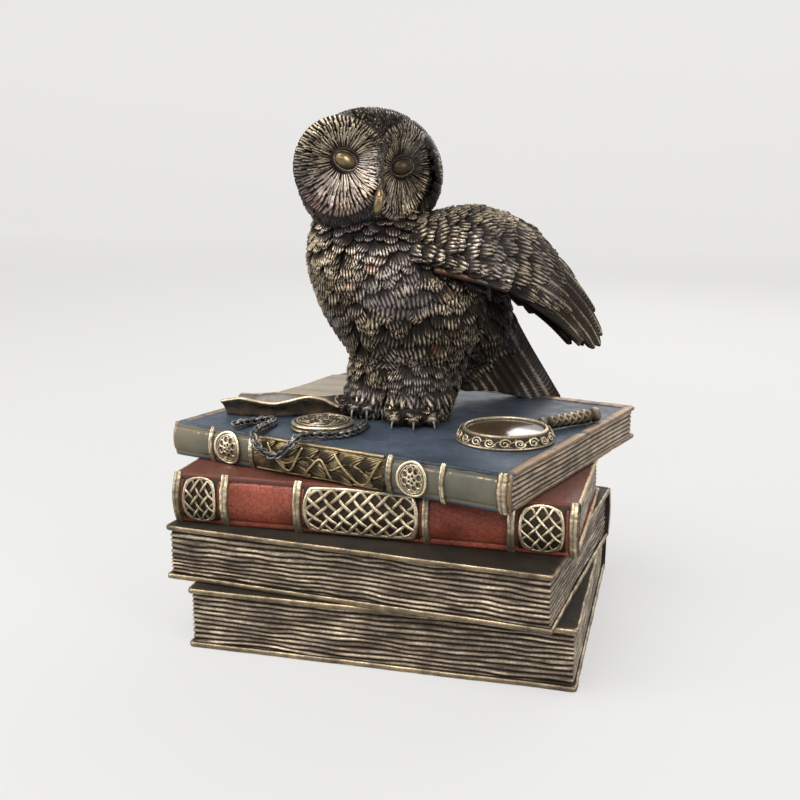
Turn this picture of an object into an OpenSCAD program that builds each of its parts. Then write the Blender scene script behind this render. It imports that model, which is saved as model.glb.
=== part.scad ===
// Owl keepsake box. Two closed books form the base and hold a compartment. Two more books,
// with an owl, a parchment, a pocket watch and a magnifying glass on them, lift off as the lid.
// Millimetres, +Z up. Origin: centre of the bottom book's underside; +X along its front edge.
// Every book's own frame has U along its width, V across its depth and Z up.

/* [Bottom book] */
// Width along the spine
bottom_w = 117; // [112:0.5:122]
// Depth from spine to fore-edge
bottom_d = 104; // [98:0.5:108]
// Height
bottom_h = 18.7; // [17:0.1:21]

/* [Third book] */
// Width along the spine
third_w = 120.5; // [114:0.5:124]
// Depth from spine to fore-edge
third_d = 89.2; // [86:0.2:94]
// Height
third_h = 17; // [15:0.1:19]
// Turn about the vertical, degrees
third_yaw = -5.7; // [-8:0.1:0]

/* [Red book] */
// Width along the spine
red_w = 123.4; // [118:0.2:126]
// Depth from spine to fore-edge
red_d = 66; // [62:0.5:72]
// Height
red_h = 15.2; // [13:0.1:17]
// Turn about the vertical, degrees
red_yaw = -0.5; // [-3:0.1:3]

/* [Blue book] */
// Width along the spine
blue_w = 119.4; // [114:0.2:124]
// Depth from spine to fore-edge
blue_d = 99.7; // [94:0.1:104]
// Height
blue_h = 11; // [10:0.1:13]
// Turn about the vertical, degrees
blue_yaw = -16.5; // [-19:0.1:-12]

/* [Covers] */
// Thickness of the boards
board = 1.6; // [1.2:0.1:2.2]
// How far the page block sits back from the boards' edges
page_inset = 1.2; // [0.6:0.1:2]
// How far a thick book's spine rounds outwards
spine_bulge = 2.4; // [1.5:0.1:3]
// Depth of the sunk leather panel in the blue book's top board
panel_sink = 0.4; // [0.2:0.1:0.8]
// Height of the raised ribs on the spines
rib_raise = 0.9; // [0.6:0.1:1.4]
// Height of the relief panels on the spines
relief_raise = 0.6; // [0.4:0.1:1]

/* [Compartment] */
// Outer width of the lining tray
lining_w = 86; // [78:0.5:90]
// Outer depth of the lining tray
lining_d = 48; // [42:0.5:50]
// Wall of the lining tray
lining_wall = 1.2; // [1:0.1:2]
// Height of the tray's underside above the ground
lining_z = 4; // [3:0.1:6]
// Gap between the lid's lip and the lining
lip_gap = 0.6; // [0.4:0.1:1]
// Thickness of the lip
lip_t = 2; // [1.6:0.1:2.6]
// Height of the lip
lip_h = 3; // [2:0.1:4]

/* [Owl] */
// Where the owl stands on the lid, X
owl_x = 3; // [0:0.5:6]
// Where the owl stands on the lid, Y
owl_y = 12; // [8:0.5:15]
// Turn of the owl's sideways axis from +X, degrees
owl_yaw = 14.7; // [10:0.1:20]
// Radius of an eye
eye_r = 3.5; // [3:0.1:4]
// Radius of a facial disc
disc_r = 12.4; // [11:0.1:13]

/* [Things on the lid] */
// Outer radius of the magnifying glass's rim
rim_r = 15; // [13:0.1:16]
// Height of the rim
rim_h = 4.2; // [3.4:0.1:5]
// Length of the magnifying glass's handle
handle_len = 26; // [22:0.5:27]
// Radius of the pocket watch
watch_r = 10; // [8:0.1:10.4]
// Height of the pocket watch's case
watch_h = 2.6; // [2:0.1:3]
// Radius of a chain link, to the middle of its wire
link_r = 1.25; // [1.1:0.05:1.4]
// Radius of a chain link's wire
wire_r = 0.36; // [0.3:0.02:0.4]
// Thickness of the parchment
sheet_t = 1.2; // [1:0.1:1.6]
// How far the parchment's near edge curls up
curl_h = 3.6; // [2:0.1:4.5]

/* [Hidden] */
$fn = 96;
eps = 0.01;
// Straight pieces in a spine's arc
arc_steps = 24;

bronze = [0.36, 0.28, 0.18];
dark_bronze = [0.2, 0.16, 0.12];
page_gold = [0.5, 0.4, 0.26];

// Running clearance between the lid and the book it rests on
seat_gap = 0.05;

// Heights at which each book starts
third_z = bottom_h;
third_top = third_z + third_h;
red_z = third_top + seat_gap;
blue_z = red_z + red_h;
deck_z = blue_z + blue_h - panel_sink;

// Centres of the turned books
third_at = [-3.6, -7.25];
red_at = [-4.7, -9.4];
blue_at = [-4.1, 9.1];
blue_bulge = 1.6;
blue_board = 1.3;

// The keepsake compartment, square to the bottom book
room_at = [-4.5, -9];
felt_t = 0.6;
felt_inset = 6;

// A book as [width, depth, height, board, bulge, fore-edge side: +1 back, -1 front]
bottom_book = [bottom_w, bottom_d, bottom_h, board, spine_bulge, -1];
third_book = [third_w, third_d, third_h, board, spine_bulge, -1];
red_book = [red_w, red_d, red_h, board, spine_bulge, 1];
blue_book = [blue_w, blue_d, blue_h, blue_board, blue_bulge, 1];

// Radius of the arc that rounds a spine of height h by a bulge b
function arc_r(b) = (b[2] * b[2] / 4 + b[4] * b[4]) / (2 * b[4]);

// ---------- places ----------
module at_bottom() { children(); }
module at_third() {
    translate([third_at[0], third_at[1], third_z]) rotate(third_yaw) children();
}
module at_red() { translate([red_at[0], red_at[1], red_z]) rotate(red_yaw) children(); }
module at_blue() { translate([blue_at[0], blue_at[1], blue_z]) rotate(blue_yaw) children(); }
module on_deck() { translate([0, 0, deck_z]) children(); }
// The blue book's U and V, but standing on its sunk top panel
module on_blue_top() {
    translate([blue_at[0], blue_at[1], deck_z]) rotate(blue_yaw) children();
}
// The owl's frame: X to its viewer's right, Y away from its face, Z up from the deck
module at_owl() { translate([owl_x, owl_y, deck_z]) rotate(owl_yaw) children(); }

// ---------- books ----------
// Extrudes a (V, Z) outline along U between two places, with the spine at -V or, for a fore-edge
// at the front, at +V
module along_u(b, from_u, to_u) {
    mirror([0, b[5] > 0 ? 0 : 1, 0]) translate([to_u, 0, 0]) rotate([90, 0, -90])
        mirror([1, 0, 0]) linear_extrude(to_u - from_u) children();
}

// Points up the rounded spine, grown by g and stopping a margin short of the boards
function spine_arc(b, g = 0, margin = 0) =
    let (r = arc_r(b) + g, a = asin((b[2] / 2 - margin) / r))
    [for (i = [0:arc_steps]) let (t = a * (2 * i / arc_steps - 1))
        [arc_r(b) - b[1] / 2 - r * cos(t), b[2] / 2 + r * sin(t)]];

// Outline of a closed book from the side, spine included
module book_outline(b) {
    polygon(concat(spine_arc(b), [[b[1] / 2, b[2]], [b[1] / 2, 0]]));
}

module book_cover(b) {
    inner = b[4] + b[3] - b[1] / 2;
    along_u(b, -b[0] / 2, b[0] / 2)
        polygon(concat(spine_arc(b), [[b[1] / 2, b[2]], [b[1] / 2, b[2] - b[3]],
            [inner, b[2] - b[3]], [inner, b[3]], [b[1] / 2, b[3]], [b[1] / 2, 0]]));
}

module book_pages(b) {
    along_u(b, page_inset - b[0] / 2, b[0] / 2 - page_inset)
        translate([b[4] + b[3] - b[1] / 2, b[3]])
            square([b[1] - b[4] - b[3] - page_inset, b[2] - 2 * b[3]]);
}

// A raised strip round the spine from one U to another, standing g proud of the cover
module spine_strip(b, from_u, to_u, g, margin) {
    inner = spine_arc(b, 0, margin);
    along_u(b, from_u, to_u)
        polygon(concat(spine_arc(b, g, margin), [for (i = [arc_steps:-1:0]) inner[i]]));
}

// The shaft that the lining tray fills, cut through the base books
module room() {
    translate([room_at[0] - lining_w / 2, room_at[1] - lining_d / 2, lining_z])
        cube([lining_w, lining_d, third_top - lining_z + eps]);
}

module felt_base() {
    color([0.09, 0.09, 0.1])
        translate([felt_inset - bottom_w / 2, felt_inset - bottom_d / 2, 0])
            cube([bottom_w - 2 * felt_inset, bottom_d - 2 * felt_inset, felt_t]);
}

module bottom_book_cover() {
    color(bronze) difference() {
        at_bottom() book_cover(bottom_book);
        translate([felt_inset - bottom_w / 2, felt_inset - bottom_d / 2, -eps])
            cube([bottom_w - 2 * felt_inset, bottom_d - 2 * felt_inset, felt_t + eps]);
        room();
    }
}

module bottom_book_pages() {
    color(page_gold) difference() {
        at_bottom() book_pages(bottom_book);
        room();
    }
}

module third_book_cover() {
    color(bronze) difference() {
        at_third() book_cover(third_book);
        room();
    }
}

module third_book_pages() {
    color(page_gold) difference() {
        at_third() book_pages(third_book);
        room();
    }
}

module compartment_lining() {
    inner_w = lining_w - 2 * lining_wall;
    inner_d = lining_d - 2 * lining_wall;
    color([0.12, 0.1, 0.1]) difference() {
        translate([room_at[0] - lining_w / 2, room_at[1] - lining_d / 2, lining_z])
            cube([lining_w, lining_d, third_top - lining_z]);
        translate([room_at[0] - inner_w / 2, room_at[1] - inner_d / 2, lining_z + lining_wall])
            cube([inner_w, inner_d, third_top - lining_z]);
    }
}

module lid_lip() {
    outer_w = lining_w - 2 * (lining_wall + lip_gap);
    outer_d = lining_d - 2 * (lining_wall + lip_gap);
    color(dark_bronze) translate([room_at[0], room_at[1], red_z - lip_h]) difference() {
        translate([-outer_w / 2, -outer_d / 2, 0]) cube([outer_w, outer_d, lip_h]);
        translate([lip_t - outer_w / 2, lip_t - outer_d / 2, -1])
            cube([outer_w - 2 * lip_t, outer_d - 2 * lip_t, lip_h + 2]);
    }
}

module red_book_cover() { color([0.42, 0.1, 0.07]) at_red() book_cover(red_book); }
module red_book_pages() { color(page_gold) at_red() book_pages(red_book); }

// Ribs and end bands on the red spine, as [from, to] along U
module red_spine_ribs() {
    half = red_w / 2;
    color([0.72, 0.6, 0.38]) at_red()
        for (s = [[-half, 3.2 - half], [-46.4, -42.9], [-23.1, -19.6],
                  [16.4, 19.4], [41, 44.2], [half - 3.4, half]])
            spine_strip(red_book, s[0], s[1], rib_raise, 0.1);
}

module red_centre_panel() {
    color([0.7, 0.62, 0.42]) at_red() spine_strip(red_book, -19.6, 16.4, relief_raise, 0.8);
}

module red_end_panels() {
    half = red_w / 2;
    color([0.6, 0.52, 0.34]) at_red() {
        spine_strip(red_book, 3.2 - half, -46.4, relief_raise, 0.8);
        spine_strip(red_book, 44.2, half - 3.4, relief_raise, 0.8);
    }
}

// The blue cover, its top panel sunk inside a border
module blue_cover() {
    border = 2.4;
    hinge = 4;
    difference() {
        at_blue() book_cover(blue_book);
        on_blue_top() translate([border - blue_w / 2, hinge - blue_d / 2, 0])
            cube([blue_w - 2 * border, blue_d - hinge - border, blue_h]);
    }
}

module blue_book_cover() { color([0.2, 0.26, 0.34]) blue_cover(); }

module blue_book_pages() { color(page_gold) at_blue() book_pages(blue_book); }

module blue_spine_ribs() {
    half = blue_w / 2;
    color([0.55, 0.45, 0.28]) at_blue()
        for (s = [[-45, -42.6], [-29, -26.6], [20.6, 23], [37.9, 40.1], [half - 4.4, half]])
            spine_strip(blue_book, s[0], s[1], rib_raise * 0.7, 0.1);
}

module blue_leaf_panel() {
    color([0.5, 0.42, 0.27]) at_blue() spine_strip(blue_book, -26.6, 20.6, relief_raise, 0.4);
}

// Round medallions whose backs follow the spine
module blue_spine_medallions() {
    medal_r = 4.9;
    color([0.62, 0.53, 0.34]) at_blue()
        difference() {
            for (u = [-36.9, 29.6]) translate([u, -blue_d / 2 - 0.9, blue_h / 2])
                rotate([-90, 0, 0]) cylinder(r = medal_r, h = 2.6);
            along_u(blue_book, -blue_w / 2, blue_w / 2) book_outline(blue_book);
        }
}

// ---------- parchment ----------
// Underside of the sheet at a distance y behind the owl's sideways axis: flat on the book,
// curling up along the near edge
curl_from = 3;
curl_to = -5;
function under(y) = y > curl_from ? 0 : curl_h * pow((curl_from - y) / (curl_from - curl_to), 2);

module parchment() {
    steps = [for (i = [0:8]) curl_to + (curl_from - curl_to) * i / 8];
    back = 66;
    color([0.55, 0.5, 0.4]) difference() {
        at_owl() intersection() {
            translate([-75, 0, 0]) rotate([90, 0, 90]) linear_extrude(95)
                polygon(concat([for (y = steps) [y, under(y)]], [[back, 0], [back, sheet_t]],
                    [for (i = [8:-1:0]) [steps[i], under(steps[i]) + sheet_t]]));
            translate([0, 0, -1]) linear_extrude(curl_h + sheet_t + 2)
                polygon([[-69, -6], [-28, -6], [-27.5, curl_from], [-16, curl_from],
                    [-12, 20], [8, 54], [-37.5, 62]]);
        }
        blue_cover();
    }
}

// ---------- owl ----------
// A smooth mass drawn tight over balls given as [x, y, z, radius]
module mass(balls) {
    hull() for (b = balls) translate([b[0], b[1], b[2]]) sphere(b[3], $fn = 32);
}

// Which way the face looks: turned and tilted from the owl frame's -Y
face_at = [-19.7, -11.5, 79.5];
module at_face() { translate(face_at) rotate([0, 4, 11]) children(); }

module owl_body() {
    color(bronze) at_owl() {
        mass([[-14.5, 2, 46, 25], [-11, 3, 26, 20], [-3, 8, 34, 20]]);
        mass([[-11, 3, 26, 20], [-8.5, 4, 14.5, 14.5], [-4, 8, 16, 13]]);
        mass([[-14.5, 2, 50, 22], [-20, 1, 66, 17]]);
    }
}

module owl_head() {
    color(bronze) at_owl()
        mass([[-29.5, -2, 77.5, 15.5], [-12, 0, 76, 14.5], [-20.5, 5, 79, 19], [-22, -2, 70, 16]]);
}

module owl_facial_discs() {
    color([0.5, 0.4, 0.26]) at_owl() at_face()
        for (s = [-1, 1]) translate([s * disc_r * 0.84, -1.4, -1])
            rotate([90, 0, s * 22]) cylinder(r = disc_r, h = 5, center = true);
}

module owl_eyes() {
    color([0.62, 0.5, 0.28]) at_owl() at_face()
        for (s = [-1, 1]) translate([s * 9.4, -2.6, 1]) sphere(eye_r);
}

module owl_beak() {
    color([0.6, 0.52, 0.34]) at_owl() at_face()
        mass([[0.3, -3, -2, 2.4], [0.5, -6, -6.5, 1.6], [0.7, -5.6, -11.5, 0.7]]);
}

// The raised wing: each slab joins two stations, and each station is a near and a far ball
left_wing = [
    [[-2, -16, 50, 7], [3, 5, 57, 8]],
    [[14, -15, 47, 3.4], [14, 5, 62.5, 4.2]],
    [[29, -10, 41.5, 2.6], [27, 7, 58, 3.4]],
    [[42, -5, 34, 2.2], [42, 7, 44, 2.6]],
    [[53, 0, 26.5, 2.4], [53, 5, 29.5, 2.6]]];

module owl_left_wing() {
    color(bronze) at_owl()
        for (i = [0:len(left_wing) - 2]) mass(concat(left_wing[i], left_wing[i + 1]));
}

// The other wing, folded along the far side of the back
module owl_right_wing() {
    color(dark_bronze) at_owl()
        mass([[-31, 12, 52, 8], [-26, 24, 36, 7], [-12, 33, 18, 5], [-2, 34, 9, 3]]);
}

module owl_tail() {
    color(dark_bronze) at_owl()
        mass([[4, 20, 30, 9], [12, 26, 8, 5], [26, 36, 3, 2.6], [38, 24, 3, 2.6], [17, 16, 18, 7]]);
}

// Feathered trousers; the right one spreads over the parchment
module owl_legs() {
    color(dark_bronze) at_owl() {
        mass([[-9, -5, 15, 11], [-8, -11, 6, 5.5]]);
        mass([[-20, 2, 14, 9.5], [-23, 1, 7.2, 5.8]]);
    }
}

// Toes as [x, y, turn, length, height above the deck] for each foot
left_toes = [[-11.5, -13, 18, 6, 1.9], [-7, -14, 2, 6.4, 1.9], [-2.8, -13, -14, 6, 1.9]];
right_toes = [[-25, -4, 16, 5, 3.2], [-21.6, -5, 4, 5.4, 3.2], [-18.2, -4.6, -8, 5, 3.2]];

module toe(t, r) {
    translate([t[0], t[1], t[4]]) rotate([90, 0, -t[2]]) {
        cylinder(r = r, h = t[3]);
        translate([0, 0, t[3]]) sphere(r);
    }
}

module owl_feet() {
    color(dark_bronze) at_owl() for (t = concat(left_toes, right_toes)) toe(t, 1.8);
}

// A claw curves out of each toe and down to the deck
module owl_claws() {
    claw_r = 4;
    claw_w = 1;
    color([0.6, 0.58, 0.5]) at_owl() for (t = concat(left_toes, right_toes))
        translate([t[0], t[1], t[4]]) rotate([0, 0, -t[2]])
            translate([claw_w / 2, -t[3] - 0.4, 1.2 - claw_r]) rotate([0, -90, 0])
                linear_extrude(claw_w) intersection() {
                    difference() {
                        circle(claw_r);
                        translate([-1.6, 1.2]) circle(claw_r);
                    }
                    translate([claw_r - 2.9, -claw_r]) square([2.9, claw_r]);
                }
}

// ---------- magnifying glass ----------
glass_at = [31, -15];
glass_turn = 50;
module at_glass() { on_deck() translate([glass_at[0], glass_at[1], 0]) children(); }

module magnifier_rim() {
    wall = 3.2;
    ledge = 1.2;
    color(bronze) at_glass() rotate_extrude() difference() {
        union() {
            translate([rim_r - wall, 0]) square([wall - 0.8, rim_h]);
            translate([rim_r - wall - ledge, 0]) square([ledge + eps, 1.4]);
            translate([rim_r - 1.6, rim_h / 2]) intersection() {
                circle(rim_h / 2);
                translate([0, -rim_h / 2]) square([1.6, rim_h]);
            }
        }
        translate([rim_r - wall - 0.2, rim_h + 0.2]) rotate(45) square(1, center = true);
    }
}

// A shallow dome of glass resting on the rim's ledge
module magnifier_lens() {
    lens_r = rim_r - 3.2;
    dome = 1.1;
    dome_r = (lens_r * lens_r + dome * dome) / (2 * dome);
    color([0.25, 0.2, 0.14, 0.9]) at_glass() translate([0, 0, 1.4]) {
        cylinder(r = lens_r, h = 1.2);
        translate([0, 0, 1.2]) rotate_extrude() intersection() {
            translate([0, dome - dome_r]) circle(dome_r, $fn = 1440);
            square([lens_r, dome]);
        }
    }
}

// Turned handle with a collar at the rim and a knob at its end
module magnifier_handle() {
    axis_z = 2.5;
    color(dark_bronze) at_glass() rotate(glass_turn) difference() {
        translate([rim_r - 1.2, 0, axis_z]) rotate([0, 90, 0]) rotate_extrude()
            polygon([[0, 0], [1.7, 0], [2.4, 1.6], [2.4, 3], [1.7, 4], [2, 5.6], [2.3, 12],
                [2.3, handle_len - 5], [1.8, handle_len - 4], [2.4, handle_len - 3],
                [2.4, handle_len - 1], [1.5, handle_len], [0, handle_len]]);
        translate([0, 0, -1]) cylinder(r = rim_r, h = rim_h * 2);
    }
}

// ---------- pocket watch ----------
watch_at = [-14.5, -30.5];
crown_turn = 118;
module at_watch() { on_blue_top() translate([watch_at[0], watch_at[1], 0]) children(); }

module watch_case() {
    edge = watch_h / 2;
    color(bronze) at_watch() rotate_extrude() {
        square([watch_r - edge, watch_h]);
        translate([watch_r - edge, edge]) intersection() {
            circle(edge);
            translate([0, -edge]) square([edge, watch_h]);
        }
    }
}

module watch_cover() {
    dome = 0.9;
    cover_r = watch_r - 1.5;
    dome_r = (cover_r * cover_r + dome * dome) / (2 * dome);
    color([0.45, 0.38, 0.26]) at_watch() translate([0, 0, watch_h]) rotate_extrude()
        intersection() {
            translate([0, dome - dome_r]) circle(dome_r, $fn = 1440);
            square([cover_r, dome]);
        }
}

// Winding crown and the bow that the chain hangs from
module watch_crown() {
    stem = 1.6;
    bow_r = 1.7;
    bow_wire = 0.45;
    color([0.5, 0.42, 0.28]) at_watch() rotate(crown_turn) {
        difference() {
            translate([0, 0, watch_h / 2]) rotate([0, 90, 0]) cylinder(r = 1.2, h = watch_r + stem);
            translate([0, 0, -1]) cylinder(r = watch_r, h = watch_h + 2);
        }
        translate([watch_r + stem + bow_r - 0.1, 0, watch_h / 2])
            rotate_extrude() translate([bow_r, 0]) circle(bow_wire, $fn = 32);
    }
}

// The cast chain's route on the blue book's top and over its spine, as [U, V, height]
lie = 1.25;
chain_route = [[-36.5, -47, lie + 0.5], [-36.4, -43.4, lie + 0.5], [-36, -39, lie], [-33.6, -33.5, lie],
    [-29.8, -35.5, lie], [-27.6, -43, lie + 0.35], [-25.4, -49.2, lie + 0.9], [-24.6, -52.2, 1],
    [-23.2, -53.2, -1], [-19.5, -53.3, -3.6], [-14.6, -53.3, -3.7], [-11.2, -53.2, -1], [-10, -52.2, 1],
    [-9.2, -49, lie + 0.9], [-6.6, -43.2, lie + 0.4], [-2.4, -38, lie], [-1.4, -30, lie],
    [-4.2, -20.5, lie]];

function lengths(pts, i = 1, so_far = [0]) = i == len(pts) ? so_far :
    lengths(pts, i + 1, concat(so_far, [so_far[i - 1] + norm(pts[i] - pts[i - 1])]));
function place(pts, run, s, i = 1) = i == len(pts) - 1 || run[i] >= s ?
    pts[i - 1] + (pts[i] - pts[i - 1]) * (s - run[i - 1]) / (run[i] - run[i - 1]) :
    place(pts, run, s, i + 1);

module watch_chain() {
    run = lengths(chain_route);
    pitch = 2 * link_r - 2 * wire_r - 0.06;
    count = floor(run[len(run) - 1] / pitch);
    color([0.42, 0.36, 0.27]) on_blue_top() for (i = [0:count - 1]) {
        here = place(chain_route, run, i * pitch);
        ahead = place(chain_route, run, (i + 1) * pitch) - here;
        translate(here + ahead / 2) rotate([0, 0, atan2(ahead[1], ahead[0])])
            rotate([0, -atan2(ahead[2], norm([ahead[0], ahead[1]])), 0])
                rotate([i % 2 == 0 ? 45 : -45, 0, 0])
                    rotate_extrude() translate([link_r, 0]) circle(wire_r, $fn = 24);
    }
}

felt_base();
bottom_book_cover();
bottom_book_pages();
third_book_cover();
third_book_pages();
compartment_lining();
lid_lip();
red_book_cover();
red_book_pages();
red_spine_ribs();
red_centre_panel();
red_end_panels();
blue_book_cover();
blue_book_pages();
blue_spine_ribs();
blue_leaf_panel();
blue_spine_medallions();
parchment();
owl_body();
owl_head();
owl_facial_discs();
owl_eyes();
owl_beak();
owl_left_wing();
owl_right_wing();
owl_tail();
owl_legs();
owl_feet();
owl_claws();
magnifier_rim();
magnifier_lens();
magnifier_handle();
watch_case();
watch_cover();
watch_crown();
watch_chain();
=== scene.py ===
# An owl keepsake box: the owl, the things round its feet and the four books under it, in bronze-cast resin.
# Shapes are worked out in millimetres in the frame of their own book or of the owl, then placed in metres.
import math

import bmesh
import bpy
import numpy as np
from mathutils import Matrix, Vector


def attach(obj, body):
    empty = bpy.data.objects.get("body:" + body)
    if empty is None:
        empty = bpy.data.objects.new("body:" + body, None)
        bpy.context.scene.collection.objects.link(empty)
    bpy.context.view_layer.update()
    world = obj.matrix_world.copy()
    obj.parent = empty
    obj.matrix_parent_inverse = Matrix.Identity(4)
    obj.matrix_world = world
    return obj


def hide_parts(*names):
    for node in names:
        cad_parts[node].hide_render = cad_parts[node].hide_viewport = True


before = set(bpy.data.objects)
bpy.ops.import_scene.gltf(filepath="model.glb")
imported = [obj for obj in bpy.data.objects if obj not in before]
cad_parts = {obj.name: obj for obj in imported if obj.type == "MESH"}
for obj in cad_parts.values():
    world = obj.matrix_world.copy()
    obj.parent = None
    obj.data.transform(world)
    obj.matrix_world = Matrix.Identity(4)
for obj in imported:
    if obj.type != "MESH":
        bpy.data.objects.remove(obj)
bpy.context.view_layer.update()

MM = 0.001
TAU = 2 * math.pi
UP = np.array([0, 0, 1.0])
GOLDEN_TURN = 2.399963  # radians; spreads points evenly over a ball
AREA_POWER = 1.6  # the usual approximation of an ellipsoid's area
rng = np.random.default_rng(7)

# ---------- the design's driving sizes, in millimetres and degrees ----------
BOTTOM_H, THIRD_H, RED_H, BLUE_H = 18.7, 17.0, 15.2, 11.0
PANEL_SINK = 0.4
SEAT_GAP = 0.05
RED_Z = BOTTOM_H + THIRD_H + SEAT_GAP
BLUE_Z = RED_Z + RED_H
DECK_Z = BLUE_Z + BLUE_H - PANEL_SINK


class Book:
    """A closed book: its size, the sides its spine and fore-edge face, and where it lies."""

    def __init__(self, size, board, bulge, spine_front, at, z, yaw):
        self.w, self.d, self.h = size
        self.board, self.bulge, self.side = board, bulge, 1 if spine_front else -1
        self.place = Place(at[0], at[1], z, yaw)
        self.r = (self.h ** 2 / 4 + bulge ** 2) / (2 * bulge)

    def spine(self, u, s, out):
        """A point on the rounded spine: u along it, s from -1 to 1 up it, out proud of the leather."""
        a = s * math.asin(self.h / 2 / self.r)
        r = self.r + out
        v = self.r - self.d / 2 - r * np.cos(a)
        z = self.h / 2 + r * np.sin(a)
        return np.stack(np.broadcast_arrays(u, v * self.side, z), -1)


class Place:
    """A frame turned about the vertical: its points in millimetres become the row's in metres."""

    def __init__(self, x, y, z, yaw=0.0):
        c, s = math.cos(math.radians(yaw)), math.sin(math.radians(yaw))
        self.rot = np.array([[c, -s, 0], [s, c, 0], [0, 0, 1.0]])
        self.at = np.array([x, y, z], float)

    def __call__(self, points):
        return (np.asarray(points, float) @ self.rot.T + self.at) * MM


bottom_book = Book((117, 104, BOTTOM_H), 1.6, 2.4, False, (0, 0), 0, 0)
third_book = Book((120.5, 89.2, THIRD_H), 1.6, 2.4, False, (-3.6, -7.25), BOTTOM_H, -5.7)
red_book = Book((123.4, 66, RED_H), 1.6, 2.4, True, (-4.7, -9.4), RED_Z, -0.5)
blue_book = Book((119.4, 99.7, BLUE_H), 1.3, 1.6, True, (-4.1, 9.1), BLUE_Z, -16.5)
BLUE_TOP = Place(-4.1, 9.1, DECK_Z, -16.5)
OWL = Place(3, 12, DECK_Z, 14.7)
GLASS = Place(31, -15, DECK_Z)


# ---------- small maths ----------
def unit(v):
    return v / np.maximum(np.linalg.norm(v, axis=-1, keepdims=True), 1e-9)


def smooth(x):
    x = np.clip(x, 0, 1)
    return x * x * (3 - 2 * x)


def lattice(ix, iy, seed):
    n = np.sin(ix * 127.1 + iy * 311.7 + seed * 74.7) * 43758.5453
    return n - np.floor(n)


def noise(x, y, seed=0):
    """Smooth value noise from 0 to 1, about one feature a unit."""
    x, y = np.broadcast_arrays(np.asarray(x, float), np.asarray(y, float))
    ix, iy = np.floor(x), np.floor(y)
    fx, fy = smooth(x - ix), smooth(y - iy)
    a, b = lattice(ix, iy, seed), lattice(ix + 1, iy, seed)
    c, d = lattice(ix, iy + 1, seed), lattice(ix + 1, iy + 1, seed)
    return (a + (b - a) * fx) * (1 - fy) + (c + (d - c) * fx) * fy


def around(n):
    """n angles spread evenly round a full turn."""
    return np.arange(n) * TAU / n


def level(degrees):
    """The level direction at an angle, and the one a quarter turn on from it."""
    c, s = math.cos(math.radians(degrees)), math.sin(math.radians(degrees))
    return np.array([c, s, 0]), np.array([-s, c, 0])


def capped(rings):
    """Closes a tube of rings with a point at each end."""
    first, last = (np.repeat(rings[k].mean(0)[None, None], rings.shape[1], 1) for k in (0, -1))
    return np.concatenate([first, rings, last])


def curve(points, n, closed=False):
    """A smooth curve of n points through the given ones."""
    p = np.asarray(points, float)
    if closed:
        p = np.concatenate([p[-1:], p, p[:2]])
    else:
        p = np.concatenate([2 * p[:1] - p[1:2], p, 2 * p[-1:] - p[-2:-1]])
    t = np.linspace(0, len(p) - 3, n, endpoint=not closed)
    i = np.minimum(t.astype(int), len(p) - 4)
    f = (t - i)[:, None]
    a, b, c, d = p[i], p[i + 1], p[i + 2], p[i + 3]
    return 0.5 * (2 * b + (c - a) * f + (2 * a - 5 * b + 4 * c - d) * f ** 2
                  + (3 * b - a - 3 * c + d) * f ** 3)


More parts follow.
